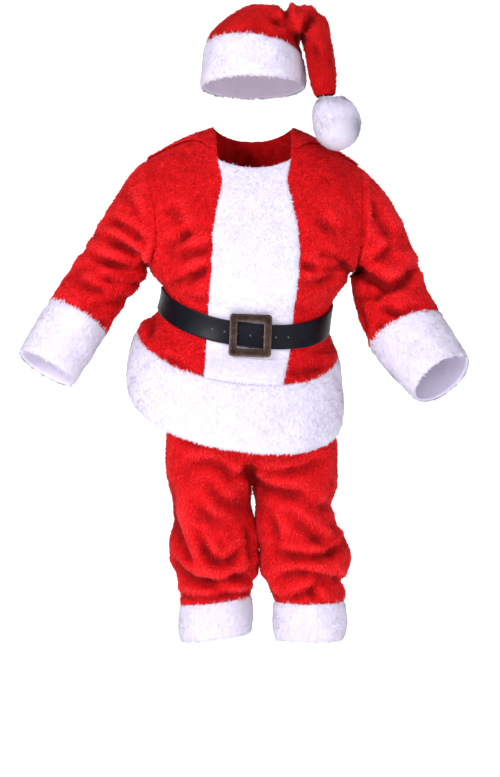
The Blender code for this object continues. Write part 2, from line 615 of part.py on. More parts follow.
# waistband, a casing for elastic round the top of the trousers
us = np.arange(24) / 24 * 2 * math.pi
zs = np.array([WAIST_Z, WAIST_Z + WAISTBAND_H / 2, WAIST_Z + WAISTBAND_H])
aa, zz = us[None] + 0 * zs[:, None], zs[:, None] + 0 * us[None]
hw, hf, hb = hip["w"](zz), hip["front"](zz), hip["back"](zz)
wp = np.stack([hip["cx"](zz) + hw * np.sign(np.sin(aa)) * np.abs(np.sin(aa)) ** 0.9,
               -np.where(np.cos(aa) > 0, hf, hb) * np.sign(np.cos(aa)) * np.abs(np.cos(aa)) ** 0.9, zz], axis=-1)
wp = wp + np.array([0, 0, 0.6])
wn = outward(wp, grid_normals(wp, True))
wall("waistband", wp, wn, (-2.0, 2.0), red, closed=True)

# ------------------------------------------------------------------ hat
HAT_COLS = 20
ha = np.arange(HAT_COLS) * 2 * math.pi / HAT_COLS          # 0 at the suit's right, a quarter turn at the front


def band_form(a, v):
    f = along(HAT_BAND)(v)
    x = f[..., 0] - f[..., 3] * np.cos(a)
    y = f[..., 1] - f[..., 4] * np.sin(a)
    z = f[..., 2] + f[..., 5] * np.sin(a) - f[..., 6] * np.cos(a)
    return np.stack([x, y, z], axis=-1)


vs = np.array([0, 0.3, 0.62, 1.0])
hp = band_form(ha[None] + 0 * vs[:, None], vs[:, None] + 0 * ha[None])
hn = outward(hp, grid_normals(hp, True))

cr = np.array(CROWN, float)
mid, half = (cr[:, :2] + cr[:, 2:4]) / 2, (cr[:, :2] - cr[:, 2:4]) / 2
rows = []
for k in range(len(cr)):
    ring = np.stack([mid[k, 0] + half[k, 0] * np.cos(ha), cr[k, 5] - cr[k, 4] * np.sin(ha),
                     mid[k, 1] + half[k, 1] * np.cos(ha) + cr[k, 6] * np.sin(ha)], axis=-1)
    rows.append(ring)
gp = np.array(rows)
gp[0] = hp[-1]
gn = outward(gp, grid_normals(gp, True))
seam = unit(hn[-1] + gn[0])
hn[-1] = gn[0] = seam
wall("hat_band", draw_back(hp, True), hn, WHITE, white, closed=True)
wall("hat_crown", draw_back(gp, True), gn, RED, red, closed=True)

# pompom: a ball of plush with a small seat where it is sewn to the tip of the hat
lat = np.linspace(math.radians(POMPOM["seat"]), math.pi, 10)[:-1]
verts, faces, m = [], [], 18
for t in lat:
    for i in range(m):
        a = 2 * math.pi * i / m
        verts.append((POMPOM["x"] + POMPOM["rx"] * math.sin(t) * math.cos(a), POMPOM["y"] + POMPOM["ry"] * math.sin(t) * math.sin(a),
                      POMPOM["z"] + POMPOM["rz"] * math.cos(t)))
verts.append((POMPOM["x"], POMPOM["y"], POMPOM["z"] - POMPOM["rz"]))
verts.append((POMPOM["x"], POMPOM["y"], verts[0][2]))
for j in range(len(lat) - 1):
    for i in range(m):
        a, b = j * m + i, j * m + (i + 1) % m
        faces.append((a, a + m, b + m, b))
for i in range(m):
    j = (len(lat) - 1) * m
    faces.append((j + i, len(verts) - 2, j + (i + 1) % m))
    faces.append((i, (i + 1) % m, len(verts) - 1))
to_object("pompom", verts, faces, white)

# ------------------------------------------------------------------ belt
def belt_line(a, dz, off):
    """Point of the belt: a runs round from the front centre, dz up its width, off over the form."""
    z = BELT_Z + 0 * a
    e = 2e-3
    t = unit(body_form(a + e, z) - body_form(a - e, z))
    rise = (body_form(a, z + 1) - body_form(a, z - 1)) / 2
    z = z + dz / np.linalg.norm(rise - (rise * t).sum(-1, keepdims=True) * t, axis=-1)
    return body_form(a, z) + off[..., None] * body_normals(a, z)


turn = np.radians(np.concatenate([np.linspace(BELT_START, 40, 9), np.linspace(50, 310, 27), np.linspace(318, 360 + TAIL_DEG, 17)]))
over = np.clip((np.degrees(turn) - 322) / 30, 0, 1)
over = over * over * (3 - 2 * over) * BELT_LIFT
vs = np.array([-BELT_W / 2, 0, BELT_W / 2])
tt = turn[None] + 0 * vs[:, None]
dd = vs[:, None] + 0 * tt
oo = (BELT_OFF + BELT_T / 2 + over)[None] + 0 * tt
wrapped = (tt + math.pi) % (2 * math.pi) - math.pi
bp = belt_line(wrapped, dd, oo)
bn = belt_line(wrapped, dd, oo + 1) - bp
wall("belt_strap", bp, unit(bn), (-BELT_T / 2, BELT_T / 2), black)

# buckle: a square frame over the strap, and a bar behind it
c0 = belt_line(np.array([0.0]), np.array([0.0]), np.array([BELT_OFF + BELT_T + BELT_LIFT + BUCKLE["stand"]]))[0]
c1 = belt_line(np.array([0.0]), np.array([0.0]), np.array([BELT_OFF + 20.0]))[0]
out = unit(c1 - c0)
out[2] = 0.0
out = unit(out)
side_v = unit(np.cross(np.array([0, 0, 1.0]), -out))
side_v = side_v * np.sign(side_v[0])
up_v = unit(np.cross(side_v, -out))
up_v = up_v * np.sign(up_v[2])
tl = math.radians(BUCKLE["tilt"])
side_r, up_r = side_v * math.cos(tl) - up_v * math.sin(tl), up_v * math.cos(tl) + side_v * math.sin(tl)


def rounded_square(half, r, steps=4):
    pts = []
    for k, (sx, sy) in enumerate(((1, 1), (-1, 1), (-1, -1), (1, -1))):
        for j in range(steps + 1):
            a = math.pi / 2 * (k + j / steps)
            pts.append((sx * (half - r) + r * math.cos(a), sy * (half - r) + r * math.sin(a)))
    return pts


def buckle_point(x, y, h):
    return tuple(c0 + side_r * x + up_r * y + out * h)


rings = [(BUCKLE["out"] / 2, BUCKLE["round"], 0.0), (BUCKLE["out"] / 2, BUCKLE["round"], BUCKLE["thick"] - 1.2),
         (BUCKLE["out"] / 2 - 1.2, BUCKLE["round"] - 1, BUCKLE["thick"]), (BUCKLE["win"] / 2 + 1.0, 3.0, BUCKLE["thick"]),
         (BUCKLE["win"] / 2, 2.2, BUCKLE["thick"] - 1.0), (BUCKLE["win"] / 2, 2.2, 0.0)]
verts, faces = [], []
for half_w, r, h in rings:
    verts += [buckle_point(x, y, h) for x, y in rounded_square(half_w, r)]
m = len(rounded_square(10, 1))
for k in range(len(rings)):
    for i in range(m):
        a, b = k * m + i, k * m + (i + 1) % m
        c, d = ((k + 1) % len(rings)) * m + (i + 1) % m, ((k + 1) % len(rings)) * m + i
        faces.append((a, b, c, d))
frame = to_object("belt_buckle", verts, faces, bronze)
# the bar runs behind the free end and turns up into the frame at top and bottom
half_b, reach, deep = BUCKLE["bar"] / 2, BUCKLE["win"] / 2 + 5.0, BUCKLE["stand"] + BELT_T + 1.5
prof = [(-reach, 1.0), (-reach, -deep), (reach, -deep), (reach, 1.0), (reach - 5.6, 1.0), (reach - 5.6, -deep + 1.0),
        (-reach + 5.6, -deep + 1.0), (-reach + 5.6, 1.0)]
verts = [buckle_point(-half_b, y, h) for y, h in prof] + [buckle_point(half_b, y, h) for y, h in prof]
k = len(prof)
faces = [(0, 1, 6, 7), (1, 2, 5, 6), (2, 3, 4, 5), (k + 7, k + 6, k + 1, k), (k + 6, k + 5, k + 2, k + 1), (k + 5, k + 4, k + 3, k + 2)]
faces += [(i, i + k, (i + 1) % k + k, (i + 1) % k) for i in range(k)]
bar = to_object("buckle_bar_tool", verts, faces, bronze)
for o in (frame, bar):
    bm_v = np.array([v.co for v in o.data.vertices])
    o.data.calc_loop_triangles()
    t = np.array([tuple(x.vertices) for x in o.data.loop_triangles])
    c = bm_v.mean(0)
    if np.einsum("ij,ij->i", bm_v[t[:, 0]] - c, np.cross(bm_v[t[:, 1]] - c, bm_v[t[:, 2]] - c)).sum() < 0:
        o.data.flip_normals()
bar.hide_render = True
bar.display_type = "WIRE"
join = frame.modifiers.new("bar", "BOOLEAN")
join.operation, join.object, join.solver = "UNION", bar, "EXACT"
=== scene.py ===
"""Looks of the hollow santa suit, shaped as if someone wore it: folded plush cloth, deep white pile, vinyl belt and
bronze buckle.

Every cloth piece is a thin shell on the same form as its solid, with its creases laid on by table.
Tables are in millimetres. +Z is up, the front faces -Y, +X is the suit's left.
"""
import math

import bpy
import numpy as np
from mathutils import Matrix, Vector


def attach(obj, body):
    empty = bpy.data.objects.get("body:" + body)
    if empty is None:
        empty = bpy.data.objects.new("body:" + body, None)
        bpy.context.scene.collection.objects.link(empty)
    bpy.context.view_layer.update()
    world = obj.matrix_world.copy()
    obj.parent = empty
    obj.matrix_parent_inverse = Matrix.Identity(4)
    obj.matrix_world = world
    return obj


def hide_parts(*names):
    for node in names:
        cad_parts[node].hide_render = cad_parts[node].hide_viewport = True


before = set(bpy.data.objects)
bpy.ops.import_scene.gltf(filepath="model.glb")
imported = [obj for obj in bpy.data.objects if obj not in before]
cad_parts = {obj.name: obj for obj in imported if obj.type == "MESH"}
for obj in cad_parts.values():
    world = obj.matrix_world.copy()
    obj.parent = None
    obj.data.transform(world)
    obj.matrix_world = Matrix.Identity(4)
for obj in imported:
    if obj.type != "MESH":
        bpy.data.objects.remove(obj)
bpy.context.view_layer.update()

# ------------------------------------------------------------------ sizes, as in the solids
MM = 0.001
GAP = 0.2            # each edge is drawn back this far, so two seamed pieces stand 0.4 apart
RED = (-1.5, 1.5)    # short red plush: wall limits about the form, inside and outside
WHITE = (-1.5, 8.0)  # deep white plush, whose pile stands out further than the red
PRESSED = 2.5        # height of the white pile under the belt
SQUARE = 2.3         # how square the body sections are: 2 is an ellipse

# ------------------------------------------------------------------ sections of the jacket body
# z: height of the section at the sides; cx: its centre; w: half width; front, back: depths;
# dip: how far the front hangs below the sides; roll: left side over right side; yaw: degrees turned
BACK_LIFT = 0.3      # rise of a section at the back, as a share of its dip at the front
BODY_COLUMNS = ("z", "cx", "w", "front", "back", "dip", "roll", "yaw")
BODY = [
    (-620, -36, 249, 202, 184, 97, 30, 6.2),
    (-575, -36, 254, 208, 188, 100, 28, 6.1),
    (-515, -35, 248, 204, 180, 101, 26, 5.8),
    (-462, -31, 237, 193, 168, 100, 24, 5.2),
    (-440, -26, 230, 185, 160, 96, 23, 4.9),
    (-408, -17, 200, 171, 141, 87, 22, 4.3),
    (-374, -10, 197, 168, 137, 75, 22, 3.4),
    (-342, -6, 199, 170, 140, 62, 18, 3.0),
    (-322, -4, 213, 184, 150, 52, 12, 2.8),
    (-304, -1, 230, 196, 160, 42, 7, 2.6),
    (-286, 2, 242, 200, 166, 32, 4, 2.4),
    (-262, 5, 262, 197, 164, 22, 2, 2.2),
    (-225, 7, 281, 187, 158, 12, 0, 2.0),
    (-160, 7, 302, 162, 148, 4, 0, 2.0),
    (-100, 7, 316, 133, 136, 0, 0, 2.0),
    (-40, 7, 320, 103, 112, 0, 0, 2.0),
    (60, 7, 320, 74, 66, 0, 0, 2.0),
]
HEM_Z, BAND_TOP_Z, ARMPIT_Z = -620.0, -462.0, -286.0
NECK_X, NECK_Z = 90.0, 48.0            # where the shoulder seam meets the neck
SHOULDER_X = 256.0
SHOULDER_Z = {-1: -30.0, 1: -44.0}     # outer end of the shoulder seam, by side
SHOULDER_ROUND = 112.0                 # height over which the shoulder rolls from front to back
NECK_LIFT = 55.0                       # how far the form rises inside the neck opening
BACK_NECK_DIP = 20.0

# half width of the plush strip down the front, then the neckline, by height
EDGE_COLUMNS = ("z", "half")
FRONT_EDGE = [(-620, 88), (-462, 91), (-374, 99), (-300, 99), (-262, 101), (-200, 98), (-140, 86), (-85, 76),
              (-40, 84), (0, 88), (48, 90), (70, 90)]
# distance of the armhole from the centre by height, by side
ARMHOLE = {-1: [(-286, 242), (-268, 239), (-225, 229), (-170, 232), (-110, 244), (-60, 254), (60, 256)],
           1: [(-286, 242), (-262, 247), (-225, 250), (-160, 253), (-100, 255), (60, 256)]}

# ------------------------------------------------------------------ sleeves
# centre of each section, its half size across the arm and front to back, and share of the way along
CAP_END = 0.42       # share of the sleeve's length at which its cap has become a plain tube
UNDER_GAP = 4.5      # clearance between sleeve and body where they fold together under the arm
CAP_DROP, UNDER_DROP = 0.8, -0.15    # slope at which the sleeve leaves the shoulder and the underarm
ARM_COLUMNS = ("x", "y", "z", "across", "deep")
SLEEVE = {
    -1: [(-262, -14, -168, 112, 96), (-292, -18, -222, 88, 88), (-317, -24, -268, 78, 82), (-352, -34, -318, 74, 78),
         (-384, -46, -364, 74, 76), (-408, -58, -405, 75, 74)],
    1: [(276, 2, -176, 100, 96), (300, -2, -230, 80, 88), (318, -8, -285, 77, 84), (329, -18, -332, 82, 82),
        (346, -38, -386, 87, 82), (370, -66, -440, 90, 82)],
}
CUFF = {
    -1: [(-411, -59, -410, 71, 71), (-432, -70, -446, 72, 70), (-458, -84, -490, 71, 70), (-478, -96, -524, 70, 69)],
    1: [(373, -69, -445, 86, 78), (392, -90, -474, 84, 76), (418, -118, -512, 79, 74), (444, -146, -548, 73, 71)],
}

# ------------------------------------------------------------------ trousers
# per leg: centre, half width and half depth of each section, from the cuff up to the crotch
LEG_COLUMNS = ("z", "x", "y", "half", "deep")
LEG = {
    -1: [(-1079, -82, 8, 80, 82), (-1062, -82, 10, 86, 88), (-1040, -80, 10, 84, 88), (-1018, -79, 12, 95, 98),
         (-990, -85, 14, 104, 106), (-955, -87, 14, 103, 104), (-900, -89, 12, 99, 104), (-850, -92, 10, 97, 110),
         (-806, -97, 10, 98, 116)],
    1: [(-1081, 142, 2, 80, 82), (-1062, 137, 6, 88, 90), (-1040, 131, 8, 86, 88), (-1018, 127, 10, 96, 98),
        (-990, 133, 12, 106, 106), (-950, 128, 12, 104, 104), (-905, 112, 12, 95, 102), (-850, 103, 10, 92, 110),
        (-806, 107, 10, 100, 116)],
}
CROTCH_Z, SEAT_X = -806.0, 4.0
# hips: half width either side of the centre seam, front and back depth, and centre
HIP_COLUMNS = ("z", "cx", "w", "front", "back")
HIP = [(-806, 6, 200, 128, 140), (-740, 2, 205, 138, 146), (-660, -8, 196, 136, 140), (-560, -14, 178, 128, 126),
       (-470, -12, 160, 118, 112), (-404, -10, 152, 112, 106)]
WAIST_Z, WAISTBAND_H = -442.0, 40.0
TROUSER_CUFF = {
    -1: [(-1165, -82, 8, 81, 81), (-1130, -82, 8, 83, 83), (-1080, -82, 8, 80, 82)],
    1: [(-1170, 143, 2, 79, 80), (-1130, 144, 2, 83, 83), (-1082, 142, 2, 80, 82)],
}
CUFF_SLOPE = {-1: 0.13, 1: 0.0}  # the hem of the suit's right leg rises towards the inseam

# ------------------------------------------------------------------ hat
# lower and upper ring of the plush band: centre, half width, half depth, rise to the front, drop to the suit's left
BAND_COLUMNS = ("x", "y", "z", "half", "deep", "rise", "drop")
HAT_BAND = [(7, 4, 152, 121, 128, 8, 0), (8, 4, 176, 120, 127, 13, -2), (9, 6, 206, 117, 124, 19, -8),
            (9, 8, 233, 112, 118, 25, -14)]
# crown: the outer and inner edge of each section in the plane of the head, its half depth and its y
CROWN_COLUMNS = ("outer_x", "outer_z", "inner_x", "inner_z", "deep", "y", "rise")
CROWN = [
    (-103, 247.5, 121, 219.5, 118.4, 8, 25), (-96, 264, 121, 227, 116, 8, 25), (-76, 290, 120, 235, 112, 8, 22),
    (-38, 319, 118, 243, 104, 7, 17), (12, 338, 117, 251, 94, 5, 11), (58, 338, 118, 259, 83, 2, 5),
    (92, 334, 120, 266, 73, -3, 0), (124, 338, 123, 266, 63, -8, 0), (156, 327, 125, 261, 55, -14, 0),
    (178, 306, 126, 252, 48, -22, 0), (188, 270, 129, 240, 44, -34, 0), (195, 226, 136, 216, 39, -46, 0),
    (200, 182, 140, 180, 33, -57, 0), (201, 146, 145, 146, 28, -67, 0), (199, 121, 158, 115, 20, -74, 0),
]
POMPOM = {"x": 205.0, "y": -90.0, "z": 55.0, "rx": 57.0, "ry": 57.0, "rz": 66.0, "seat": 26.0}

# ------------------------------------------------------------------ belt
BELT_W, BELT_T = 57.0, 3.0
BELT_Z = -375.0
BELT_OFF = 5.5        # inner face of the strap over the cloth form
BELT_LIFT = 4.4       # how far the free end lies over the fixed end
BELT_START = 4.0      # where the fixed end begins, just beyond the bar of the buckle
TAIL_DEG = 41.0       # how far past the buckle the free end reaches, as an angle round the body
BUCKLE = {"out": 98.0, "win": 61.0, "thick": 4.5, "round": 9.0, "bar": 7.0, "tilt": 2.0, "stand": 3.6}


def smooth(rows, col, key=0):
    """Monotone cubic through one column of a table, as a function of its key column."""
    t = np.array(sorted((float(r[key]), float(r[col])) for r in rows))
    x, y = t[:, 0], t[:, 1]
    h, d = np.diff(x), np.diff(y) / np.diff(x)
    m = np.zeros(len(x))
    m[0], m[-1] = d[0], d[-1]
    for i in range(1, len(x) - 1):
        if d[i - 1] * d[i] > 0:
            a, b = 2 * h[i] + h[i - 1], h[i] + 2 * h[i - 1]
            m[i] = (a + b) / (a / d[i - 1] + b / d[i])

    def f(q):
        q = np.clip(np.asarray(q, float), x[0], x[-1])
        i = np.clip(np.searchsorted(x, q, side="right") - 1, 0, len(x) - 2)
        s = (q - x[i]) / h[i]
        return ((1 + 2 * s) * (1 - s) ** 2 * y[i] + s * (1 - s) ** 2 * h[i] * m[i]
                + s * s * (3 - 2 * s) * y[i + 1] + s * s * (s - 1) * h[i] * m[i + 1])
    return f


def along(rows):
    """Smooth path through a table of sections, by share of its length from 0 to 1."""
    t = np.array(rows, float)
    d = np.concatenate([[0], np.cumsum(np.linalg.norm(np.diff(t[:, :3], axis=0), axis=1))])
    d /= d[-1]
    fs = [smooth(list(zip(d, t[:, k])), 1) for k in range(t.shape[1])]
    return lambda v: np.stack([f(v) for f in fs], axis=-1)


def unit(v):
    return v / np.maximum(np.linalg.norm(v, axis=-1, keepdims=True), 1e-12)


def normals(f, u, v, eu=1e-3, ev=1e-3):
    du = f(u + eu, v) - f(u - eu, v)
    dv = f(u, v + ev) - f(u, v - ev)
    return unit(np.cross(du, dv))


def draw_back(p, closed, ends=(True, True), gap=GAP):
    """Moves the edges of a grid of points in by the seam gap."""
    q = p.copy()
    if ends[0]:
        q[0] += gap * unit(p[1] - p[0])
        q[-1] += gap * unit(p[-2] - p[-1])
    if ends[1] and not closed:
        q[:, 0] += gap * unit(p[:, 1] - p[:, 0])
        q[:, -1] += gap * unit(p[:, -2] - p[:, -1])
    return q


# ================================================================== jacket form
body = {c: smooth(BODY, i) for i, c in enumerate(BODY_COLUMNS) if i}
front_edge = smooth(FRONT_EDGE, 1)
armhole_x = {side: smooth(ARMHOLE[side], 1) for side in (-1, 1)}


def shoulder_line(x):
    """Height of the form's top over x: the sloping shoulder seam, rising a little inside the neck."""
    x = np.asarray(x, float)
    ax = np.abs(x)
    out = np.where(x < 0, SHOULDER_Z[-1], SHOULDER_Z[1])
    f = (ax - NECK_X) / (SHOULDER_X - NECK_X)
    slope = NECK_Z + (out - NECK_Z) * f + 7 * np.sin(math.pi * np.clip(f, 0, 1))
    return np.where(ax < NECK_X, NECK_Z + NECK_LIFT * (1 - (ax / NECK_X) ** 2), slope)


def local_body(theta, z):
    """Point of the body form before it is hung and turned; theta runs round from the front centre."""
    w = body["w"](z)
    s, c = np.sin(theta), np.cos(theta)
    x = w * np.sign(s) * np.abs(s) ** (2 / SQUARE)
    d = np.where(c > 0, body["front"](z), body["back"](z)) * np.abs(c) ** (2 / SQUARE)
    h = np.clip((shoulder_line(x) - z) / SHOULDER_ROUND, 0, 1)
    y = -np.sign(c) * d * np.sqrt(np.clip(1 - (1 - h) ** 2, 0, 1))
    return x, y


def place_body(x, y, z):
    """Hangs and turns a point of the body form."""
    f = np.clip(-y / body["front"](z), -1, 1)
    zw = z - body["dip"](z) * np.where(f > 0, np.abs(f) ** 1.3, -BACK_LIFT * np.abs(f) ** 1.3) - body["roll"](z) * x / body["w"](z)
    a = np.radians(body["yaw"](z))
    return np.stack([x * np.cos(a) - y * np.sin(a) + body["cx"](z), x * np.sin(a) + y * np.cos(a), zw], axis=-1)


def body_form(theta, z):
    x, y = local_body(theta, z)
    return place_body(x, y, z)


def theta_of(x, z):
    return np.arcsin(np.clip((np.abs(x) / body["w"](z)) ** (SQUARE / 2), 0, 1))



# ================================================================== finer rows and columns than the solids
LOWER_Z = [float(z) for z in np.linspace(-462, -286, 27)]
BAND_Z = [float(z) for z in np.linspace(-620, -462, 22)]
N_UP, NECK_ROW = 45, 31
UP = [(1 - math.cos(math.pi * k / N_UP)) / 2 for k in range(N_UP + 1)]
F_COLS = [float(f) for f in np.linspace(0, 1, 41)]
P_COLS = [float(f) for f in np.linspace(-1, 1, 33)]
S_NECK = 0.27
B_MID = [0, 0.045, 0.09, 0.135, 0.18, 0.225]
def top_z(x):
    return np.where(np.abs(x) < NECK_X - 0.5, NECK_Z - BACK_NECK_DIP * (1 - (np.abs(x) / NECK_X) ** 2), shoulder_line(x))


def upper_grid(s, side, back):
    """theta and z of the rows between the armpit and the shoulder, for columns s of one side."""
    s = np.array(s, float)
    th, zz = [], []
    for c in UP:
        if back:
            lin = np.where(s < S_NECK, NECK_X * s / S_NECK, NECK_X + (SHOULDER_X - NECK_X) * (s - S_NECK) / (1 - S_NECK))
        else:
            lin = NECK_X + (SHOULDER_X - NECK_X) * s
        z_top = top_z(side * lin) if back else shoulder_line(side * np.maximum(lin, NECK_X))
        z = ARMPIT_Z + (z_top - ARMPIT_Z) * c
        xa = armhole_x[side](z)
        t_out = theta_of(xa, z)
        if back:
            x_even = body["w"](z) * np.sin(t_out * s) ** (2 / SQUARE)
            x_lin = lin * xa / SHOULDER_X
        else:
            xi = front_edge(z)
            t_in = theta_of(xi, z)
            x_even = body["w"](z) * np.sin(t_in + (t_out - t_in) * s) ** (2 / SQUARE)
            x_lin = xi + (xa - xi) * s
        x = x_even * (1 - c) + x_lin * c
        t = np.where(s >= 1, t_out, theta_of(x, z))
        th.append(t)
        zz.append(z)
    return np.array(th), np.array(zz)


def lower_grid(s, back):
    z = np.array(LOWER_Z[:-1], float)[:, None] + 0 * np.array(s)[None]
    if back:
        return math.pi / 2 * np.array(s)[None] + 0 * z, z
    t_in = theta_of(front_edge(z), z)
    return t_in + (math.pi / 2 - t_in) * np.array(s)[None], z


def seam_up(x):
    e = 0.5
    dz = shoulder_line(x + e) - shoulder_line(x - e)
    return unit(np.stack([-dz / (2 * e), 0 * dz, 1 + 0 * dz], axis=-1))


def body_normals(theta, z):
    n = normals(lambda u, v: body_form(u, v), theta, z, 2e-3, 0.4)
    return n


def front_piece(side):
    lt, lz = lower_grid(F_COLS, False)
    ut, uz = upper_grid(F_COLS, side, False)
    th, z = np.concatenate([lt, ut]), np.concatenate([lz, uz])
    p, n = body_form(side * th, z), body_normals(side * th, z)
    x, _ = local_body(side * th[-1], z[-1])
    n[-1] = seam_up(x)
    return th, z, p, n


def back_piece():
    cols = B_MID + [S_NECK + (1 - S_NECK) * f for f in F_COLS]
    left, right = [], []
    for side in (-1, 1):
        lt, lz = lower_grid(cols, True)
        ut, uz = upper_grid(cols, side, True)
        th, z = np.concatenate([lt, ut]), np.concatenate([lz, uz])
        (left if side < 0 else right).extend([th, z])
    th = np.concatenate([-(math.pi - left[0][:, ::-1]), (math.pi - right[0][:, 1:])], axis=1)
    z = np.concatenate([left[1][:, ::-1], right[1][:, 1:]], axis=1)
    p, n = body_form(th, z), body_normals(th, z)
    x, _ = local_body(th[-1], z[-1])
    up = seam_up(x)
    on = np.abs(x) >= NECK_X - 0.5
    n[-1][on] = up[on]
    return th, z, p, n, cols


# ================================================================== sleeves
def arm_frame(path, v):
    """Centre, across and front directions of a section."""
    c = path(v)
    t = unit(path(np.clip(v + 0.02, 0, 1))[..., :3] - path(np.clip(v - 0.02, 0, 1))[..., :3])
    front = np.array([0.0, -1.0, 0.0]) - t * (-t[..., 1:2])
    front = unit(front)
    return c, t, front


def arm_ring(path, side, ang, v):
    """ang 0 is the outer side of the arm, a quarter turn is the front."""
    c, t, front = arm_frame(path, v)
    across = unit(np.cross(front, t)) * side
    flip = np.sign((across * np.array([side, 0, 0.3])).sum(-1, keepdims=True))
    across = across * flip
    return (c[..., :3] + across * (c[..., 3:4] * np.cos(ang)[..., None]) + front * (c[..., 4:5] * np.sin(ang)[..., None]))


def ring_angles(loop, path, side):
    """Angle round the first section for each point of the armhole."""
    n = len(loop)
    return np.arange(n) * 2 * math.pi / n


def sleeve_grid(side, loop, caps, vs, path):
    """Rows from the armhole over the cap of the sleeve (shares caps), then down the arm (shares vs)."""
    n = len(loop)
    ang = np.arange(n) * 2 * math.pi / n
    end = arm_ring(path, side, ang, np.full(n, CAP_END))
    t = arm_frame(path, np.full(n, CAP_END))[1]
    top = ((1 + np.cos(ang)) / 2)[:, None]
    start = unit(np.concatenate([side + 0 * top, 0 * top, -(UNDER_DROP + (CAP_DROP - UNDER_DROP) * top)], axis=1))
    loop = loop + side * UNDER_GAP * (1 - top) ** 1.5 * np.array([1.0, 0.0, 0.0])
    reach = np.linalg.norm(end - loop, axis=1, keepdims=True)
    rows = []
    for s in caps:
        rows.append((1 + 2 * s) * (1 - s) ** 2 * loop + s * (1 - s) ** 2 * reach * start
                    + s * s * (3 - 2 * s) * end + s * s * (s - 1) * reach * t)
    for v in vs:
        rows.append(arm_ring(path, side, ang, np.full(n, v)))
    return np.array(rows)


def grid_normals(p, closed):
    """Directions at the points of a grid, out of a tube whose columns run round it."""
    du = (np.roll(p, -1, 1) - np.roll(p, 1, 1)) if closed else np.gradient(p, axis=1)
    return unit(np.cross(du, np.gradient(p, axis=0)))


def outward(p, n):
    c = p.mean(axis=1, keepdims=True)
    return n if ((p - c) * n).sum() > 0 else -n

# ================================================================== creases
# A crease runs through the points given, in view units: one unit is 2.4 mm on the plane x = y = 0 as it is seen from
# the front, u to the right from 250 at x = 0 and v down. Then come its half width and depth in mm. The cloth sinks along
# it and swells beside it, above the line, or below it where the width is negative. A negative depth is a ridge.
VIEW_Y, VIEW_Z = 4500.0, -572.4
ARM_R = [
    ((144, 163), (149, 200), (150, 237), 8, 3.5), ((162, 245), (158, 256), (149, 266), 12, 13),
    ((108, 219), (128, 229), (146, 243), 12, 8), ((100, 235), (132, 251), (149, 269), 12, 12),
    ((88, 252), (118, 265), (145, 267), 12, 12), ((96, 273), (116, 281), (140, 283), 11, 9),
    ((74, 274), (86, 269), (98, 265), 15, 6), ((70, 277), (100, 289), (134, 297), 13, 7),
    ((94, 305), (112, 303), (130, 299), 11, 5), ((122, 192), (134, 206), (140, 226), 14, 4),
    ((104, 318), (96, 326), (80, 330), 11, 5), ((60, 300), (70, 309), (84, 312), 12, 5)]
TORSO = [
    ((164, 246), (179, 240), (191, 228), 13, 12), ((168, 254), (194, 252), (217, 245), 14, 9),
    ((169, 284), (194, 275), (217, 262), 13, 11), ((155, 303), (151, 320), (150, 335), 9, 10),
    ((162, 304), (156, 322), (149, 337), 9, 8), ((166, 324), (186, 337), (205, 345), 13, 8),
    ((322, 254), (345, 262), (347, 279), 11, 14), ((299, 262), (322, 268), (345, 265), 12, 11),
    ((304, 282), (322, 280), (338, 272), 12, 11), ((297, 304), (307, 310), (318, 311), 10, 9),
    ((288, 371), (308, 370), (326, 364), 15, 8), ((180, 296), (196, 300), (212, 298), 10, 7),
    ((168, 205), (178, 219), (180, 234), 16, 6), ((316, 214), (328, 226), (342, 232), 16, 6),
    ((160, 356), (178, 364), (190, 376), 15, 7), ((330, 318), (334, 334), (332, 352), 12, 8),
    ((176, 306), (173, 318), (175, 328), 9, 7), ((300, 340), (316, 348), (334, 347), 13, 7)]
ARM_L = [
    ((360, 187), (362, 220), (359, 254), 8, 11), ((347, 264), (366, 276), (386, 286), 15, 25),
    ((352, 252), (386, 285), (418, 264), 14, 15), ((356, 296), (373, 296), (390, 290), 12, 13),
    ((359, 303), (364, 324), (364, 347), 11, 14), ((382, 341), (395, 336), (408, 328), 11, 11),
    ((366, 350), (378, 356), (390, 360), 10, 10), ((408, 254), (418, 265), (415, 279), 14, -8),
    ((374, 206), (382, 224), (396, 238), 15, 8), ((376, 300), (396, 312), (416, 306), 13, 11),
    ((372, 322), (384, 326), (402, 318), 11, 8), ((366, 262), (380, 256), (392, 244), 12, 9)]
LEGS = [
    ((182, 468), (211, 462), (231, 477), 13, 8), ((229, 476), (238, 474), (249, 465), 11, 7),
    ((250, 463), (262, 485), (312, 495), 15, 11), ((253, 468), (290, 471), (318, 459), 12, 8),
    ((171, 484), (178, 530), (195, 566), 14, 12), ((197, 531), (216, 561), (242, 549), 13, 12),
    ((167, 549), (192, 579), (208, 580), 12, 10), ((190, 572), (220, 581), (254, 567), 12, 11),
    ((203, 580), (234, 596), (256, 584), 12, 10), ((176, 594), (204, 598), (228, 598), 11, 9),
    ((246, 526), (249, 544), (248, 562), 10, 8), ((289, 515), (318, 538), (332, 545), 15, 10),
    ((328, 521), (332, 531), (330, 541), 11, 7), ((277, 551), (320, 556), (343, 539), 12, 12),
    ((277, 578), (302, 573), (331, 578), 12, 10), ((265, 579), (284, 600), (323, 579), 12, 10),
    ((309, 586), (315, 596), (323, 605), 11, 8), ((331, 577), (337, 578), (343, 580), 11, 9),
    ((196, 500), (206, 516), (224, 524), 16, 6), ((300, 500), (320, 506), (334, 500), 14, 6),
    ((268, 512), (276, 532), (272, 548), 13, 6), ((210, 486), (222, 500), (240, 506), 15, 6),
    ((232, 566), (240, 578), (256, 576), 10, 6), ((286, 606), (300, 610), (316, 607), 9, 6),
    ((190, 608), (204, 612), (220, 609), 9, 6)]
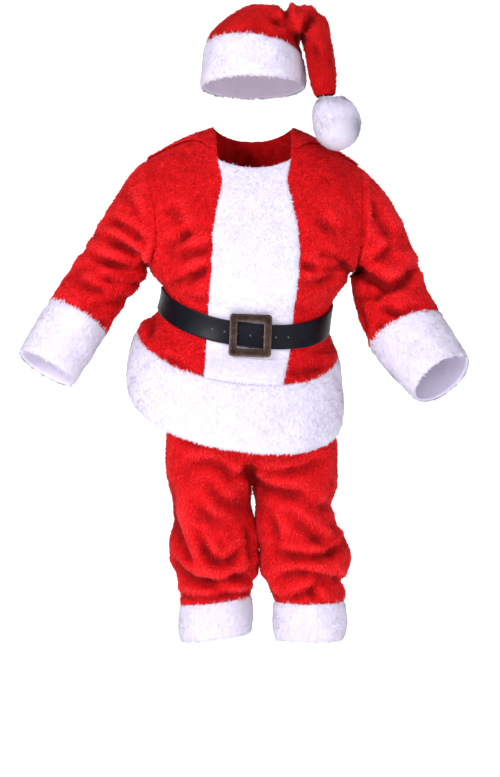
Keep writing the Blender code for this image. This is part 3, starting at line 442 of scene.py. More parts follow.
HAT = [
    ((282, 4), (286, 13), (287, 23), 10, 10), ((271, 16), (279, 22), (288, 24), 10, 8),
    ((323, 11), (307, 25), (306, 39), 11, 9), ((308, 40), (314, 50), (319, 64), 11, 5),
    ((222, 50), (240, 38), (262, 34), 14, 5), ((214, 62), (226, 50), (232, 38), 12, 4),
    ((290, 30), (300, 40), (300, 52), 12, 5), ((252, 56), (272, 54), (288, 60), 13, 4),
    ((300, 12), (312, 16), (320, 26), 10, 4)]
# the hidden back, seen through the suit on the same plane
ARM_R_BACK = [
    ((150, 246), (130, 236), (112, 238), 13, 10), ((149, 262), (124, 262), (98, 250), 13, 12),
    ((146, 276), (118, 284), (88, 270), 12, 9), ((136, 296), (106, 300), (72, 286), 13, 8),
    ((128, 312), (104, 318), (84, 312), 11, 6), ((128, 186), (138, 206), (146, 226), 14, 5)]
TORSO_BACK = [
    ((166, 250), (190, 240), (210, 222), 14, 8), ((170, 278), (206, 282), (240, 272), 14, 7),
    ((262, 270), (300, 280), (338, 264), 14, 8), ((340, 246), (320, 238), (304, 222), 14, 7),
    ((214, 200), (250, 214), (288, 202), 18, 4), ((190, 296), (196, 304), (194, 316), 10, 7),
    ((232, 294), (236, 306), (232, 322), 10, 6), ((276, 296), (272, 308), (276, 322), 10, 6),
    ((318, 294), (314, 306), (318, 324), 10, 7), ((188, 328), (192, 350), (186, 376), 14, 6),
    ((240, 332), (246, 352), (242, 380), 16, 5), ((300, 330), (296, 350), (302, 378), 15, 6),
    ((204, 262), (228, 254), (250, 258), 13, 5)]
ARM_L_BACK = [
    ((350, 244), (370, 236), (392, 240), 13, 10), ((350, 264), (376, 270), (408, 258), 13, 12),
    ((356, 284), (380, 296), (414, 284), 13, 10), ((366, 306), (390, 318), (416, 308), 12, 8),
    ((372, 332), (390, 342), (408, 334), 11, 7), ((372, 196), (376, 214), (368, 232), 14, 5)]
LEGS_BACK = [
    ((180, 470), (206, 486), (240, 470), 14, 10), ((256, 468), (286, 488), (322, 470), 14, 10),
    ((176, 520), (200, 536), (238, 526), 13, 9), ((188, 544), (214, 558), (244, 546), 13, 11),
    ((176, 566), (206, 584), (240, 572), 12, 10), ((186, 592), (212, 604), (238, 594), 11, 9),
    ((264, 520), (296, 534), (332, 522), 13, 9), ((262, 546), (300, 560), (338, 548), 13, 11),
    ((270, 572), (304, 586), (334, 574), 12, 10), ((276, 596), (300, 606), (324, 598), 11, 8),
    ((196, 492), (200, 508), (192, 524), 13, 6), ((306, 492), (302, 506), (310, 520), 13, 6)]
HAT_BACK = [
    ((216, 56), (240, 44), (268, 42), 14, 6), ((262, 24), (276, 30), (290, 28), 11, 7),
    ((300, 22), (308, 36), (310, 50), 11, 6), ((236, 62), (256, 56), (282, 58), 14, 5)]


def sunk(p, n, tables, near=None):
    """How far the creases move the cloth along its directions n, at its points p."""
    k = VIEW_Y / (VIEW_Y + p[..., 1])
    q = np.stack([p[..., 0] * k, VIEW_Z + (p[..., 2] - VIEW_Z) * k], axis=-1).reshape(-1, 2)
    total = np.zeros(len(q))
    for way, table in zip((-1.0, 1.0), tables):
        c = np.clip((n[..., 1].ravel() * way + 0.4) / 0.7, 0, 1)
        face = c * c * (3 - 2 * c)
        for *pts, width, deep in table:
            up, width = math.copysign(1.0, width), abs(width)
            a, m, b = (np.array([(u - 250) * 2.4, VIEW_Z + (388.5 - v) * 2.4]) for u, v in pts)
            s = np.linspace(0, 1, 19)[:, None]
            mid = 2 * m - (a + b) / 2
            line = (1 - s) ** 2 * a + 2 * s * (1 - s) * mid + s * s * b
            lo, hi = line.min(0) - 3.2 * width, line.max(0) + 3.2 * width
            on = np.flatnonzero((q > lo).all(-1) & (q < hi).all(-1) & (face > 0))
            if not len(on):
                continue
            o = q[on]
            e = line[1:] - line[:-1]
            w = o[:, None] - line[None, :-1]
            t = np.clip((w * e).sum(-1) / (e * e).sum(-1), 0, 1)
            gap = w - t[..., None] * e
            d = np.linalg.norm(gap, axis=-1)
            j = d.argmin(1)
            r = np.arange(len(on))
            along_it = (j + t[r, j]) / len(e)
            above = np.sign(gap[r, j, 1] * abs(e[j, 0]) - gap[r, j, 0] * e[j, 1] * np.sign(e[j, 0] + 1e-9)) * up
            x = d[r, j] / width * above
            # its line and depth waver along it, as folds in thick cloth do
            wave = 1 + 0.22 * np.sin(along_it * 9.0 + a[0] * 0.7) + 0.12 * np.sin(along_it * 21.0 + a[1])
            form = -np.exp(-x * x) + 0.72 * np.exp(-((x - 1.55) / 1.05) ** 2) + 0.2 * np.exp(-((x + 1.9) / 1.1) ** 2)
            taper = np.clip(np.sin(math.pi * np.clip(along_it * 0.94 + 0.03, 0, 1)), 0, 1) ** 0.6
            total[on] += deep * form * wave * taper * face[on]
    total = total.reshape(p.shape[:-1])
    return 24 * np.tanh(1.6 * total / 24)


def uneven(p, size, deep, seed):
    """Soft, seeded unevenness of cloth that is never quite smooth."""
    rng = np.random.default_rng(seed)
    out = np.zeros(p.shape[:-1])
    for _ in range(9):
        d = unit(rng.normal(size=3))
        out += np.sin((p * d).sum(-1) * 2 * math.pi / (size * rng.uniform(0.6, 1.6)) + rng.uniform(0, 6.28)) * rng.uniform(0.4, 1)
    return out * deep / 3.2


def fade(count, a, b):
    """0 at the ends of a row of points, 1 within: a and b are how many points each end takes, 0 for none."""
    i = np.arange(count, dtype=float)
    w = np.ones(count)
    for k, span in ((i, a), (i[::-1], b)):
        if span:
            c = np.clip(k / span, 0, 1)
            w = w * c * c * (3 - 2 * c)
    return w


# ================================================================== meshes
def mesh_object(name, verts, faces_n, loops, mat, smooth_it=True):
    me = bpy.data.meshes.new(name)
    me.vertices.add(len(verts))
    me.vertices.foreach_set("co", np.ascontiguousarray(verts, dtype=np.float32).ravel())
    me.loops.add(len(loops))
    me.loops.foreach_set("vertex_index", loops.astype(np.int32))
    me.polygons.add(len(faces_n))
    me.polygons.foreach_set("loop_start", np.concatenate([[0], np.cumsum(faces_n)[:-1]]).astype(np.int32))
    me.update(calc_edges=True)
    me.validate()
    me.polygons.foreach_set("use_smooth", np.full(len(me.polygons), smooth_it))
    ob = bpy.data.objects.new(name, me)
    bpy.context.scene.collection.objects.link(ob)
    me.materials.append(mat)
    return ob


def quads_of(rows, cols, closed):
    r, c = np.meshgrid(np.arange(rows - 1), np.arange(cols if closed else cols - 1), indexing="ij")
    c2 = (c + 1) % cols
    return np.stack([r * cols + c, r * cols + c2, (r + 1) * cols + c2, (r + 1) * cols + c], axis=-1).reshape(-1, 4)


def set_fold(ob, height):
    """Marks how far each point lies in a fold or on a ridge, from -1 to 1, for the painted shade in folds and painted
    highlight on ridges in the colour there.
    """
    at = ob.data.attributes.new("fold", "FLOAT", "POINT")
    at.data.foreach_set("value", np.clip(height / 13.0, -1, 1).astype(np.float32))


def shell(name, p, n, limits, mat, closed=False, move=0.0, node=None, edge=0):
    """A thin closed wall between the limits on either side of the form p, moved along its directions n."""
    n = unit(n)
    lo, hi = (np.broadcast_to(np.asarray(x, float), p.shape[:2]) for x in limits)
    move = np.broadcast_to(np.asarray(move, float), p.shape[:2])
    if edge:
        w = fade(len(p), edge, edge)[:, None] * (1 if closed else fade(p.shape[1], edge, edge)[None])
        hi = lo + 1.0 + (hi - lo - 1.0) * (0.45 + 0.55 * np.sqrt(w))
    outer, inner = p + n * (hi + move)[..., None], p + n * (lo + move)[..., None]
    rows, cols = p.shape[:2]
    q = quads_of(rows, cols, closed)
    a = outer.reshape(-1, 3)
    face_n = np.cross(a[q[:, 2]] - a[q[:, 0]], a[q[:, 3]] - a[q[:, 1]])
    if (face_n * n.reshape(-1, 3)[q[:, 0]]).sum() < 0:
        q = q[:, ::-1]
    m = rows * cols
    faces = [q, q[:, ::-1] + m]
    # each rim follows the free edges of the outer sheet
    e = np.concatenate([q[:, [i, (i + 1) % 4]] for i in range(4)])
    key = np.sort(e, axis=1)
    _, inv, count = np.unique(key, axis=0, return_inverse=True, return_counts=True)
    rim = e[count[inv.ravel()] == 1]
    faces.append(np.stack([rim[:, 1], rim[:, 0], rim[:, 0] + m, rim[:, 1] + m], axis=-1))
    faces = np.concatenate(faces)
    ob = mesh_object(name + "_cloth", np.concatenate([a, inner.reshape(-1, 3)]) * MM, np.full(len(faces), 4), faces.ravel(), mat)
    # the lift is kept for the material, which paints shade into the folds and highlight onto the ridges
    set_fold(ob, np.tile(move.ravel(), 2))
    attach(ob, "root")
    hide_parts(node or name)
    # the surface normals that the pile grows from
    g = (np.roll(outer, -1, 1) - np.roll(outer, 1, 1)) if closed else np.gradient(outer, axis=1)
    on = unit(np.cross(g, np.gradient(outer, axis=0)))
    on = on * np.sign((on * n).sum(-1, keepdims=True))
    return ob, outer, on


def pile(name, outer, on, closed, mat, slot, each, length, width, lean, seed, keep=None, nap=None, root=1.2, curl=0.35,
         fold=None, fringe="", fringe_length=8.0, fringe_step=1.15, stand=0.8):
    """Tufts of pile on a sheet: closed slivers, one to each so many mm2, that lean with the nap. At the edges named in
    fringe (f first row, l last row, a and z the first and last column) longer ones stand out past the edge."""
    rng = np.random.default_rng(seed)
    rows, cols = outer.shape[:2]
    q = quads_of(rows, cols, closed)
    a, nn = outer.reshape(-1, 3), on.reshape(-1, 3)
    area = np.linalg.norm(np.cross(a[q[:, 2]] - a[q[:, 0]], a[q[:, 3]] - a[q[:, 1]]), axis=1) / 2
    if keep is not None:
        area = area * np.clip(keep.reshape(-1)[q].mean(1), 0, 1)
    count = int(area.sum() / each)
    # an even share to each face, the remainder by chance
    share = area / area.sum() * count
    base = np.floor(share).astype(int)
    extra = rng.random(len(share)) < share - base
    pick = np.repeat(np.arange(len(q)), base + extra)
    u, v = rng.random(len(pick))[:, None], rng.random(len(pick))[:, None]
    w = [(1 - u) * (1 - v), u * (1 - v), u * v, (1 - u) * v]
    at = sum(wi * a[q[pick, i]] for i, wi in enumerate(w))
    out = unit(sum(wi * nn[q[pick, i]] for i, wi in enumerate(w)))
    high = 0 * u[:, 0] if fold is None else sum(wi[:, 0] * fold.ravel()[q[pick, i]] for i, wi in enumerate(w))
    if nap is None:
        way = np.tile(np.array([0.0, 0.0, -1.0]), (len(pick), 1))
    else:
        way = unit(nap.reshape(-1, 3)[q[pick, 0]])
    way = way - out * (way * out).sum(-1, keepdims=True)
    way = way / np.maximum(np.linalg.norm(way, axis=1, keepdims=True), 0.15)
    across = np.cross(out, way)
    # the nap wanders a little from patch to patch, and each tuft from its neighbours
    turn = (curl * (np.sin(at[:, 0] / 17 + 2.1 * np.sin(at[:, 2] / 29)) + np.sin(at[:, 2] / 13 + at[:, 1] / 19 + 1.7 * np.sin(at[:, 0] / 31)))
            + rng.normal(0, 0.45, len(pick)))[:, None]
    flat = way * np.cos(turn) + across * np.sin(turn)
    # pile lies closer on some patches than on others
    lay = 7 * np.sin(at[:, 0] / 11 + 1.9 * np.sin(at[:, 2] / 17)) * np.sin(at[:, 2] / 9 + at[:, 1] / 14)
    tilt = np.radians(np.clip(lean + lay + rng.normal(0, 9, len(pick)), 5, 84))[:, None]
    axis = unit(out * np.cos(tilt) + flat * np.sin(tilt))
    size = (length * rng.uniform(0.62, 1.25, len(pick)))[:, None]
    half = (width / 2 * rng.uniform(0.75, 1.25, len(pick)))[:, None]
    hold = np.ones(len(pick))
    for mark in fringe:
        g = outer if mark in "fl" else outer.transpose(1, 0, 2)
        gn = on if mark in "fl" else on.transpose(1, 0, 2)
        e, e1, en = (g[0], g[1], gn[0]) if mark in "fa" else (g[-1], g[-2], gn[-1])
        if closed and mark in "fl":
            e, e1, en = (np.concatenate([x, x[:1]]) for x in (e, e1, en))
        run = np.concatenate([[0], np.cumsum(np.linalg.norm(np.diff(e, axis=0), axis=1))])
        m = int(run[-1] / fringe_step)
        s = np.sort(rng.random(m)) * run[-1]
        ep, e1p, enp = (np.stack([np.interp(s, run, x[:, k]) for k in range(3)], axis=-1) for x in (e, e1, en))
        enp = unit(enp)
        go = unit(ep - e1p)
        side_on = np.cross(enp, go)
        back = rng.uniform(0, 5, m)[:, None]
        # the tufts of an edge hang together in locks of a few
        lock = (0.55 * np.sin(s / 4.1 + 1.3 * np.sin(s / 23)) + 0.35 * np.sin(s / 9.7) + rng.normal(0, 0.22, m))[:, None]
        ft = np.radians(rng.uniform(48, 84, m))[:, None]
        at = np.concatenate([at, ep - go * back])
        out = np.concatenate([out, enp])
        axis = np.concatenate([axis, unit(enp * np.cos(ft) + unit(go + side_on * lock * 0.7) * np.sin(ft))])
        size = np.concatenate([size, (fringe_length * rng.uniform(0.5, 1.2, m))[:, None] * (1 + 0.3 * np.sin(s / 5.3))[:, None]])
        half = np.concatenate([half, (1.25 * rng.uniform(0.8, 1.25, m))[:, None]])
        high = np.concatenate([high, np.zeros(m)])
        hold = np.concatenate([hold, np.full(m, 0.1 * stand)])
    s1 = unit(np.cross(axis, out + 1e-3))
    s2 = unit(np.cross(axis, s1))
    roll = rng.uniform(0, 6.28, len(at))[:, None]
    foot = at - out * root
    vs = [foot + half * (s1 * np.cos(roll + k * 2.0944) + s2 * np.sin(roll + k * 2.0944)) for k in range(3)]
    vs.append(foot + axis * (size + root))
    verts = np.stack(vs, axis=1)
    tri = np.array([[0, 1, 3], [1, 2, 3], [2, 0, 3], [0, 2, 1]])
    # all four faces turned outwards
    vol = (np.cross(verts[:, 1] - verts[:, 0], verts[:, 2] - verts[:, 0]) * (verts[:, 3] - verts[:, 0])).sum(-1)
    t = np.where((vol > 0)[:, None, None], tri[None], tri[None][..., ::-1]) + (np.arange(len(at)) * 4)[:, None, None]
    ob = mesh_object(name + "_pile", verts.reshape(-1, 3) * MM, np.full(len(at) * 4, 3), t.reshape(-1), mat)
    # painted shade at the root of each tuft and painted highlight at its tip, through the fold colour
    set_fold(ob, np.repeat(high, 4) + np.tile([-1.5, -1.5, -1.5, 2.0], len(at)))
    # the light falls on the pile much as on the cloth beneath it
    soft = unit(out[:, None] * hold[:, None, None] + stand * unit(verts - foot[:, None]) * np.array([0.6, 0.6, 0.6, 1.0])[None, :, None])
    ob.data.normals_split_custom_set_from_vertices(soft.reshape(-1, 3).tolist())
    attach(ob, "root")
    return ob


# ================================================================== materials
def nodes_of(name, colour, rough, metal=0.0):
    m = bpy.data.materials.new(name)
    m.use_nodes = True
    b = m.node_tree.nodes["Principled BSDF"]
    b.inputs["Base Color"].default_value = (*colour, 1)
    b.inputs["Roughness"].default_value = rough
    b.inputs["Metallic"].default_value = metal
    m.diffuse_color = (*colour, 1)
    return m, m.node_tree, b


def noise(t, scale, detail=3.0, rough=0.5):
    co = t.nodes.new("ShaderNodeTexCoord")
    n = t.nodes.new("ShaderNodeTexNoise")
    n.inputs["Scale"].default_value = scale
    n.inputs["Detail"].default_value = detail
    n.inputs["Roughness"].default_value = rough
    t.links.new(co.outputs["Object"], n.inputs["Vector"])
    return n


def ramp(t, source, stops):
    r = t.nodes.new("ShaderNodeValToRGB")
    el = r.color_ramp.elements
    el[0].position, el[0].color = stops[0][0], (*stops[0][1], 1)
    el[1].position, el[1].color = stops[-1][0], (*stops[-1][1], 1)
    for pos, col in stops[1:-1]:
        e = el.new(pos)
        e.color = (*col, 1)
    t.links.new(source, r.inputs["Fac"])
    return r


def mix(t, kind, fac, a, b):
    n = t.nodes.new("ShaderNodeMix")
    n.data_type, n.blend_type = "RGBA", kind
    if isinstance(fac, float):
        n.inputs["Factor"].default_value = fac
    else:
        t.links.new(fac, n.inputs["Factor"])
    for k, x in ((6, a), (7, b)):
        if isinstance(x, tuple):
            n.inputs[k].default_value = (*x, 1)
        else:
            t.links.new(x, n.inputs[k])
    return n.outputs[2]


def bump(t, b, sources):
    """Several heights one on another: (output, strength, distance in metres)."""
    last = None
    for out, strength, far in sources:
        n = t.nodes.new("ShaderNodeBump")
        n.inputs["Strength"].default_value = strength
        n.inputs["Distance"].default_value = far
        t.links.new(out, n.inputs["Height"])
        if last is not None:
            t.links.new(last, n.inputs["Normal"])
        last = n.outputs["Normal"]
    t.links.new(last, b.inputs["Normal"])


def plush(name, dark, mid, light, low, high, rough, sheen, sheen_tint, fine, coarse):
    """Pile cloth: grain drawn out along the nap, patches where it lies another way, painted shade in folds and painted
    highlight on ridges.
    """
    m, t, b = nodes_of(name, mid, rough)
    f, c = noise(t, fine, 3.0, 0.6), noise(t, coarse, 4.0, 0.6)
    stretch = t.nodes.new("ShaderNodeMapping")
    stretch.inputs["Scale"].default_value = (1.0, 1.0, 0.34)
    co = t.nodes.new("ShaderNodeTexCoord")
    t.links.new(co.outputs["Object"], stretch.inputs["Vector"])
    t.links.new(stretch.outputs["Vector"], f.inputs["Vector"])
    grain = ramp(t, f.outputs["Fac"], [(0.3, dark), (0.5, mid), (0.72, light)])
    patch = ramp(t, c.outputs["Fac"], [(0.34, dark), (0.5, mid), (0.68, light)])
    base = mix(t, "MIX", 0.5, grain.outputs["Color"], patch.outputs["Color"])
    # painted shade and highlight: the colour turns towards low in folds and towards high on ridges
    fold = t.nodes.new("ShaderNodeAttribute")
    fold.attribute_name = "fold"
    sink, rise = t.nodes.new("ShaderNodeMapRange"), t.nodes.new("ShaderNodeMapRange")
    for n, top, most in ((sink, -1.0, 0.8), (rise, 1.0, 0.6)):
        n.inputs["From Min"].default_value = 0.0
        n.inputs["From Max"].default_value = top
        n.inputs["To Max"].default_value = most
        t.links.new(fold.outputs["Fac"], n.inputs["Value"])
    base = mix(t, "MIX", sink.outputs["Result"], base, low)
    base = mix(t, "MIX", rise.outputs["Result"], base, high)
    t.links.new(base, b.inputs["Base Color"])
    b.inputs["Sheen Weight"].default_value = sheen
    b.inputs["Sheen Roughness"].default_value = 0.45
    b.inputs["Sheen Tint"].default_value = (*sheen_tint, 1)
    b.inputs["Specular IOR Level"].default_value = 0.1
    bump(t, b, [(c.outputs["Fac"], 0.35, 0.003), (f.outputs["Fac"], 0.5, 0.0012)])
    return m


# the fifth colour of each plush is its painted shade in folds, the sixth its painted highlight on ridges
RED_M = plush("red_plush_look", (0.24, 0.0004, 0.0008), (0.46, 0.001, 0.003), (0.64, 0.004, 0.007), (0.13, 0.0, 0.001),
              (0.72, 0.010, 0.013), 0.8, 0.04, (1.0, 0.3, 0.28), 300, 60)
RED_TIP = plush("red_pile_look", (0.36, 0.0007, 0.0014), (0.71, 0.005, 0.009), (1.0, 0.026, 0.036), (0.15, 0.0, 0.0008),
                (1.0, 0.046, 0.058), 0.75, 0.06, (1.0, 0.3, 0.28), 190, 48)
# the hat takes the same plush in darker colours: painted shade
HAT_SHADED_M = plush("red_plush_hat_painted_shade_look", (0.19, 0.0003, 0.0006), (0.36, 0.001, 0.002), (0.50, 0.003, 0.005), (0.10, 0.0, 0.0008),
              (0.56, 0.006, 0.008), 0.8, 0.04, (1.0, 0.3, 0.28), 300, 60)
HAT_SHADED_TIP = plush("red_pile_hat_painted_shade_look", (0.27, 0.0004, 0.0008), (0.50, 0.002, 0.003), (0.74, 0.010, 0.013), (0.12, 0.0, 0.0006),
                (0.78, 0.018, 0.022), 0.75, 0.06, (1.0, 0.3, 0.28), 190, 48)
WHITE_M = plush("white_plush_look", (0.62, 0.575, 0.72), (0.65, 0.605, 0.76), (0.68, 0.64, 0.785), (0.50, 0.455, 0.61),
                (0.71, 0.67, 0.81), 0.85, 0.05, (1.0, 1.0, 1.0), 300, 40)
WHITE_TIP = plush("white_pile_look", (0.67, 0.63, 0.765), (0.685, 0.645, 0.78), (0.705, 0.665, 0.80), (0.60, 0.56, 0.70),
                  (0.73, 0.69, 0.825), 0.85, 0.05, (1.0, 1.0, 1.0), 200, 30)

m, t, b = nodes_of("black_vinyl_look", (0.012, 0.012, 0.018), 0.36)
g, g2, g3 = noise(t, 900, 2.0), noise(t, 35, 5.0, 0.6), noise(t, 9, 3.0)
col = ramp(t, g2.outputs["Fac"], [(0.3, (0.0015, 0.0015, 0.004)), (0.55, (0.003, 0.003, 0.007)), (0.8, (0.007, 0.007, 0.014))])
t.links.new(col.outputs["Color"], b.inputs["Base Color"])
rr = ramp(t, g2.outputs["Fac"], [(0.3, (0.36,) * 3), (0.8, (0.52,) * 3)])
t.links.new(rr.outputs["Color"], b.inputs["Roughness"])
b.inputs["Specular IOR Level"].default_value = 0.1
b.inputs["Coat Weight"].default_value = 0.03
b.inputs["Coat Roughness"].default_value = 0.22
bump(t, b, [(g3.outputs["Fac"], 0.3, 0.004), (g.outputs["Fac"], 0.35, 0.00025)])
VINYL = m
# pale colour for the walls and floors of the punched holes: painted highlight
m, t, b = nodes_of("hole_painted_highlight_look", (0.085, 0.09, 0.12), 0.8)
HOLE_HIGHLIGHT = m
m, t, b = nodes_of("antique_bronze_look", (0.16, 0.12, 0.085), 0.45, 1.0)
g, g2 = noise(t, 55, 6.0, 0.65), noise(t, 420, 3.0)
col = ramp(t, g.outputs["Fac"], [(0.34, (0.018, 0.0105, 0.0085)), (0.52, (0.041, 0.0255, 0.021)), (0.74, (0.088, 0.056, 0.046))])
# lighter on every sharp edge: partly rubbed wear of the bronze, partly painted highlight where the edges catch the
# light
geo = t.nodes.new("ShaderNodeNewGeometry")
wear_and_edge_highlight = ramp(t, geo.outputs["Pointiness"], [(0.5, (0, 0, 0)), (0.56, (1, 1, 1))])
t.links.new(mix(t, "MIX", wear_and_edge_highlight.outputs["Color"], col.outputs["Color"], (0.185, 0.134, 0.112)), b.inputs["Base Color"])
rr = ramp(t, g.outputs["Fac"], [(0.35, (0.55,) * 3), (0.7, (0.34,) * 3)])
t.links.new(rr.outputs["Color"], b.inputs["Roughness"])
bump(t, b, [(g.outputs["Fac"], 0.3, 0.0008), (g2.outputs["Fac"], 0.3, 0.0002)])
BRONZE = m

# ================================================================== jacket
SHORT = dict(each=19.0, length=8.4, width=3.0, lean=66, stand=0.75)     # red plush: mm2 to a tuft, and its sizes in mm
DEEP = dict(each=9.5, length=6.2, width=3.3, lean=66, stand=0.13)       # white plush
RED_WALL, WHITE_WALL = (-1.5, 1.5), (-1.5, 5.0)
cloth = {}          # every cloth piece and its pile, by node


def keep_piece(node, ob, *going):
    cloth[node] = (ob, list(going))


def torso_move(p, n):
    return sunk(p, n, (TORSO, TORSO_BACK)) + uneven(p, 95, 2.2, 5)


def belt_free(z):
    """1 where the cloth shows, 0 where the belt lies on it."""
    return np.clip((np.abs(z - BELT_Z) - 25) / 6, 0, 1)


def under_belt(z):
    """Folds and pile are pressed flat where the belt crosses."""
    c = np.clip((np.abs(z - BELT_Z) - 30) / 30, 0, 1)
    return c * c * (3 - 2 * c)


def close_below(lift, z, n):
    """Below the belt, beside the sleeves and under the collar the folds sink but hardly swell."""
    beside = np.clip((np.abs(n[..., 0]) - 0.25) / 0.4, 0, 1) * np.clip((-120 - z) / 20, 0, 1) * np.clip((z + 340) / 20, 0, 1)
    lift = lift - beside * np.clip(lift - 0.3, 0, None)
    lift = lift - np.clip((z + 130) / 20, 0, 1) * np.clip(lift + 1.0, 0, None)
    return lift - 0.97 * np.clip((BELT_Z - 4 - z) / 14, 0, 1) * np.clip(lift - 0.5, 0, None)


fronts = {s: front_piece(s) for s in (-1, 1)}
b_th, b_z, b_p, b_n, b_cols = back_piece()
n_low = len(LOWER_Z) - 1
loops, torso_dirs = {}, {}
for side in (-1, 1):
    f_edge, f_dir = fronts[side][2][n_low:, -1], fronts[side][3][n_low:, -1]
    col = 0 if side < 0 else -1
    k_edge, k_dir = b_p[n_low:, col], b_n[n_low:, col]
    loops[side] = np.concatenate([f_edge[::-1], k_edge[1:-1]])
    torso_dirs[side] = np.concatenate([f_dir[::-1], k_dir[1:-1]])

UNDER_GAP = 1.0
SLEEVE_CAP = [float(x) for x in np.linspace(0, 1, 28)]
SLEEVE_V = [float(x) for x in np.linspace(CAP_END, 1, 40)[1:]]
for side, word in ((-1, "right"), (1, "left")):
    path = along(SLEEVE[side])
    p = sleeve_grid(side, loops[side], SLEEVE_CAP, SLEEVE_V, path)
    n = outward(p, grid_normals(p, True))
    body_dir, sleeve_dir = torso_dirs[side], n[1].copy()
    turn_cos = (body_dir * sleeve_dir).sum(-1, keepdims=True)
    mitre, m_w = unit(body_dir + sleeve_dir), np.clip(turn_cos / 0.5, 0, 1)
    n[0] = unit(mitre * m_w + sleeve_dir * (1 - m_w))
    edge_dir = unit(mitre * m_w + body_dir * (1 - m_w))
    th, z, fp, fn = fronts[side]
    k = len(UP)
    fn[n_low:, -1] = edge_dir[:k][::-1]
    col = 0 if side < 0 else -1
    b_n[n_low:, col] = np.concatenate([edge_dir[k - 1:], edge_dir[:1]])
    tables = (ARM_R, ARM_R_BACK) if side < 0 else (ARM_L, ARM_L_BACK)
    lift = sunk(p, n, tables) + uneven(p, 80, 2.0, 7 + side)
    # where the sleeve faces the body its folds only sink, so it stays clear
    lift = lift - np.clip((-side * n[..., 0] + 0.15) / 0.5, 0, 1) * np.clip(lift, 0, None)
    # the seam round the armhole sits a little low, and the cloth swells out beside it
    from_seam = np.linalg.norm(p - p[:1], axis=-1)
    lift = lift * fade(len(p), 4, 3)[:, None] - 2.2 * np.exp(-(from_seam / 5) ** 2) + 1.4 * np.exp(-((from_seam - 15) / 8) ** 2) - 0.0
    lift[0] = -1.2
    ob, o, on = shell(f"sleeve_{word}", draw_back(p, True), n, RED_WALL, RED_M, closed=True, move=lift)
    nap = np.gradient(o, axis=0)
    fur = pile(f"sleeve_{word}", o, on, True, RED_TIP, "red_plush", seed=11 + side, fold=lift, nap=nap, fringe="f", fringe_length=4.0, fringe_step=2.4, **SHORT)
    keep_piece(f"sleeve_{word}", ob, fur)
    cuff = along(CUFF[side])
    vs = np.linspace(0, 1, 20)
    cols = len(loops[side])
    ang = np.arange(cols) * 2 * math.pi / cols
    cp = np.array([arm_ring(cuff, side, ang, np.full(cols, v)) for v in vs])
    cp[0] = p[-1]
    cn = outward(cp, grid_normals(cp, True))
    cn[0] = n[-1]
    lift = uneven(cp, 70, 1.6, 31 + side)
    ob, o, on = shell(f"cuff_{word}", draw_back(cp, True), cn, WHITE_WALL, WHITE_M, closed=True, move=lift, edge=2)
    fur = pile(f"cuff_{word}", o, on, True, WHITE_TIP, "white_plush", seed=21 + side, nap=np.gradient(o, axis=0), fold=lift, fringe="fl", **DEEP)
    keep_piece(f"cuff_{word}", ob, fur)

for side, word in ((-1, "right"), (1, "left")):
    th, z, p, n = fronts[side]
    lift = close_below(torso_move(p, n), z, n) * under_belt(z) * fade(p.shape[1], 3, 0)[None] * fade(len(p), 2, 2)[:, None]
    lift[n_low:] *= fade(p.shape[1], 0, 3)[None]
    lift[n_low:, -1] = -1.2
    ob, o, on = shell(f"jacket_front_{word}", draw_back(p, False), n, RED_WALL, RED_M, move=lift)
    fur = pile(f"jacket_front_{word}", o, on, False, RED_TIP, "red_plush", seed=41 + side, fold=lift, keep=belt_free(z), **SHORT)
    keep_piece(f"jacket_front_{word}", ob, fur)

lift = close_below(torso_move(b_p, b_n), b_z, b_n) * under_belt(b_z) * fade(len(b_p), 2, 2)[:, None]
lift[n_low:] *= fade(b_p.shape[1], 3, 3)[None]
lift[n_low:, [0, -1]] = -1.2
ob, o, on = shell("jacket_back", draw_back(b_p, False), b_n, RED_WALL, RED_M, move=lift)
fur = pile("jacket_back", o, on, False, RED_TIP, "red_plush", seed=44, fold=lift, keep=belt_free(b_z), **SHORT)
keep_piece("jacket_back", ob, fur)

# ------------------------------------------------------------------ strip, hem band, cuffs: deep white plush
rows = n_low + NECK_ROW
s_z = fronts[1][1][:rows, 0]
zz = s_z[:, None] + 0 * np.array(P_COLS)[None]
edge = theta_of(front_edge(zz), zz)
pt = edge * np.array(P_COLS)[None]
low_neck = np.clip((s_z - s_z[-1] + 60) / 60, 0, 1) ** 2
zz = zz - (20.0 * low_neck)[:, None] * (1 - np.array(P_COLS)[None] ** 2)
height = PRESSED - 0.6 + (WHITE_WALL[1] - PRESSED + 0.6) * under_belt(zz)
p, n = body_form(pt, zz), body_normals(pt, zz)
lift = uneven(p, 75, 1.2, 51) * under_belt(zz) + 0.5 * sunk(p, n, (TORSO, TORSO_BACK)) * under_belt(zz)
ob, o, on = shell("front_strip", draw_back(p, False), n, (WHITE_WALL[0], height), WHITE_M, move=lift, edge=2)
fur = pile("front_strip", o, on, False, WHITE_TIP, "white_plush", seed=52, fold=lift, fringe="laz", fringe_length=5.0, fringe_step=2.2, keep=belt_free(zz), **DEEP)
keep_piece("front_strip", ob, fur)

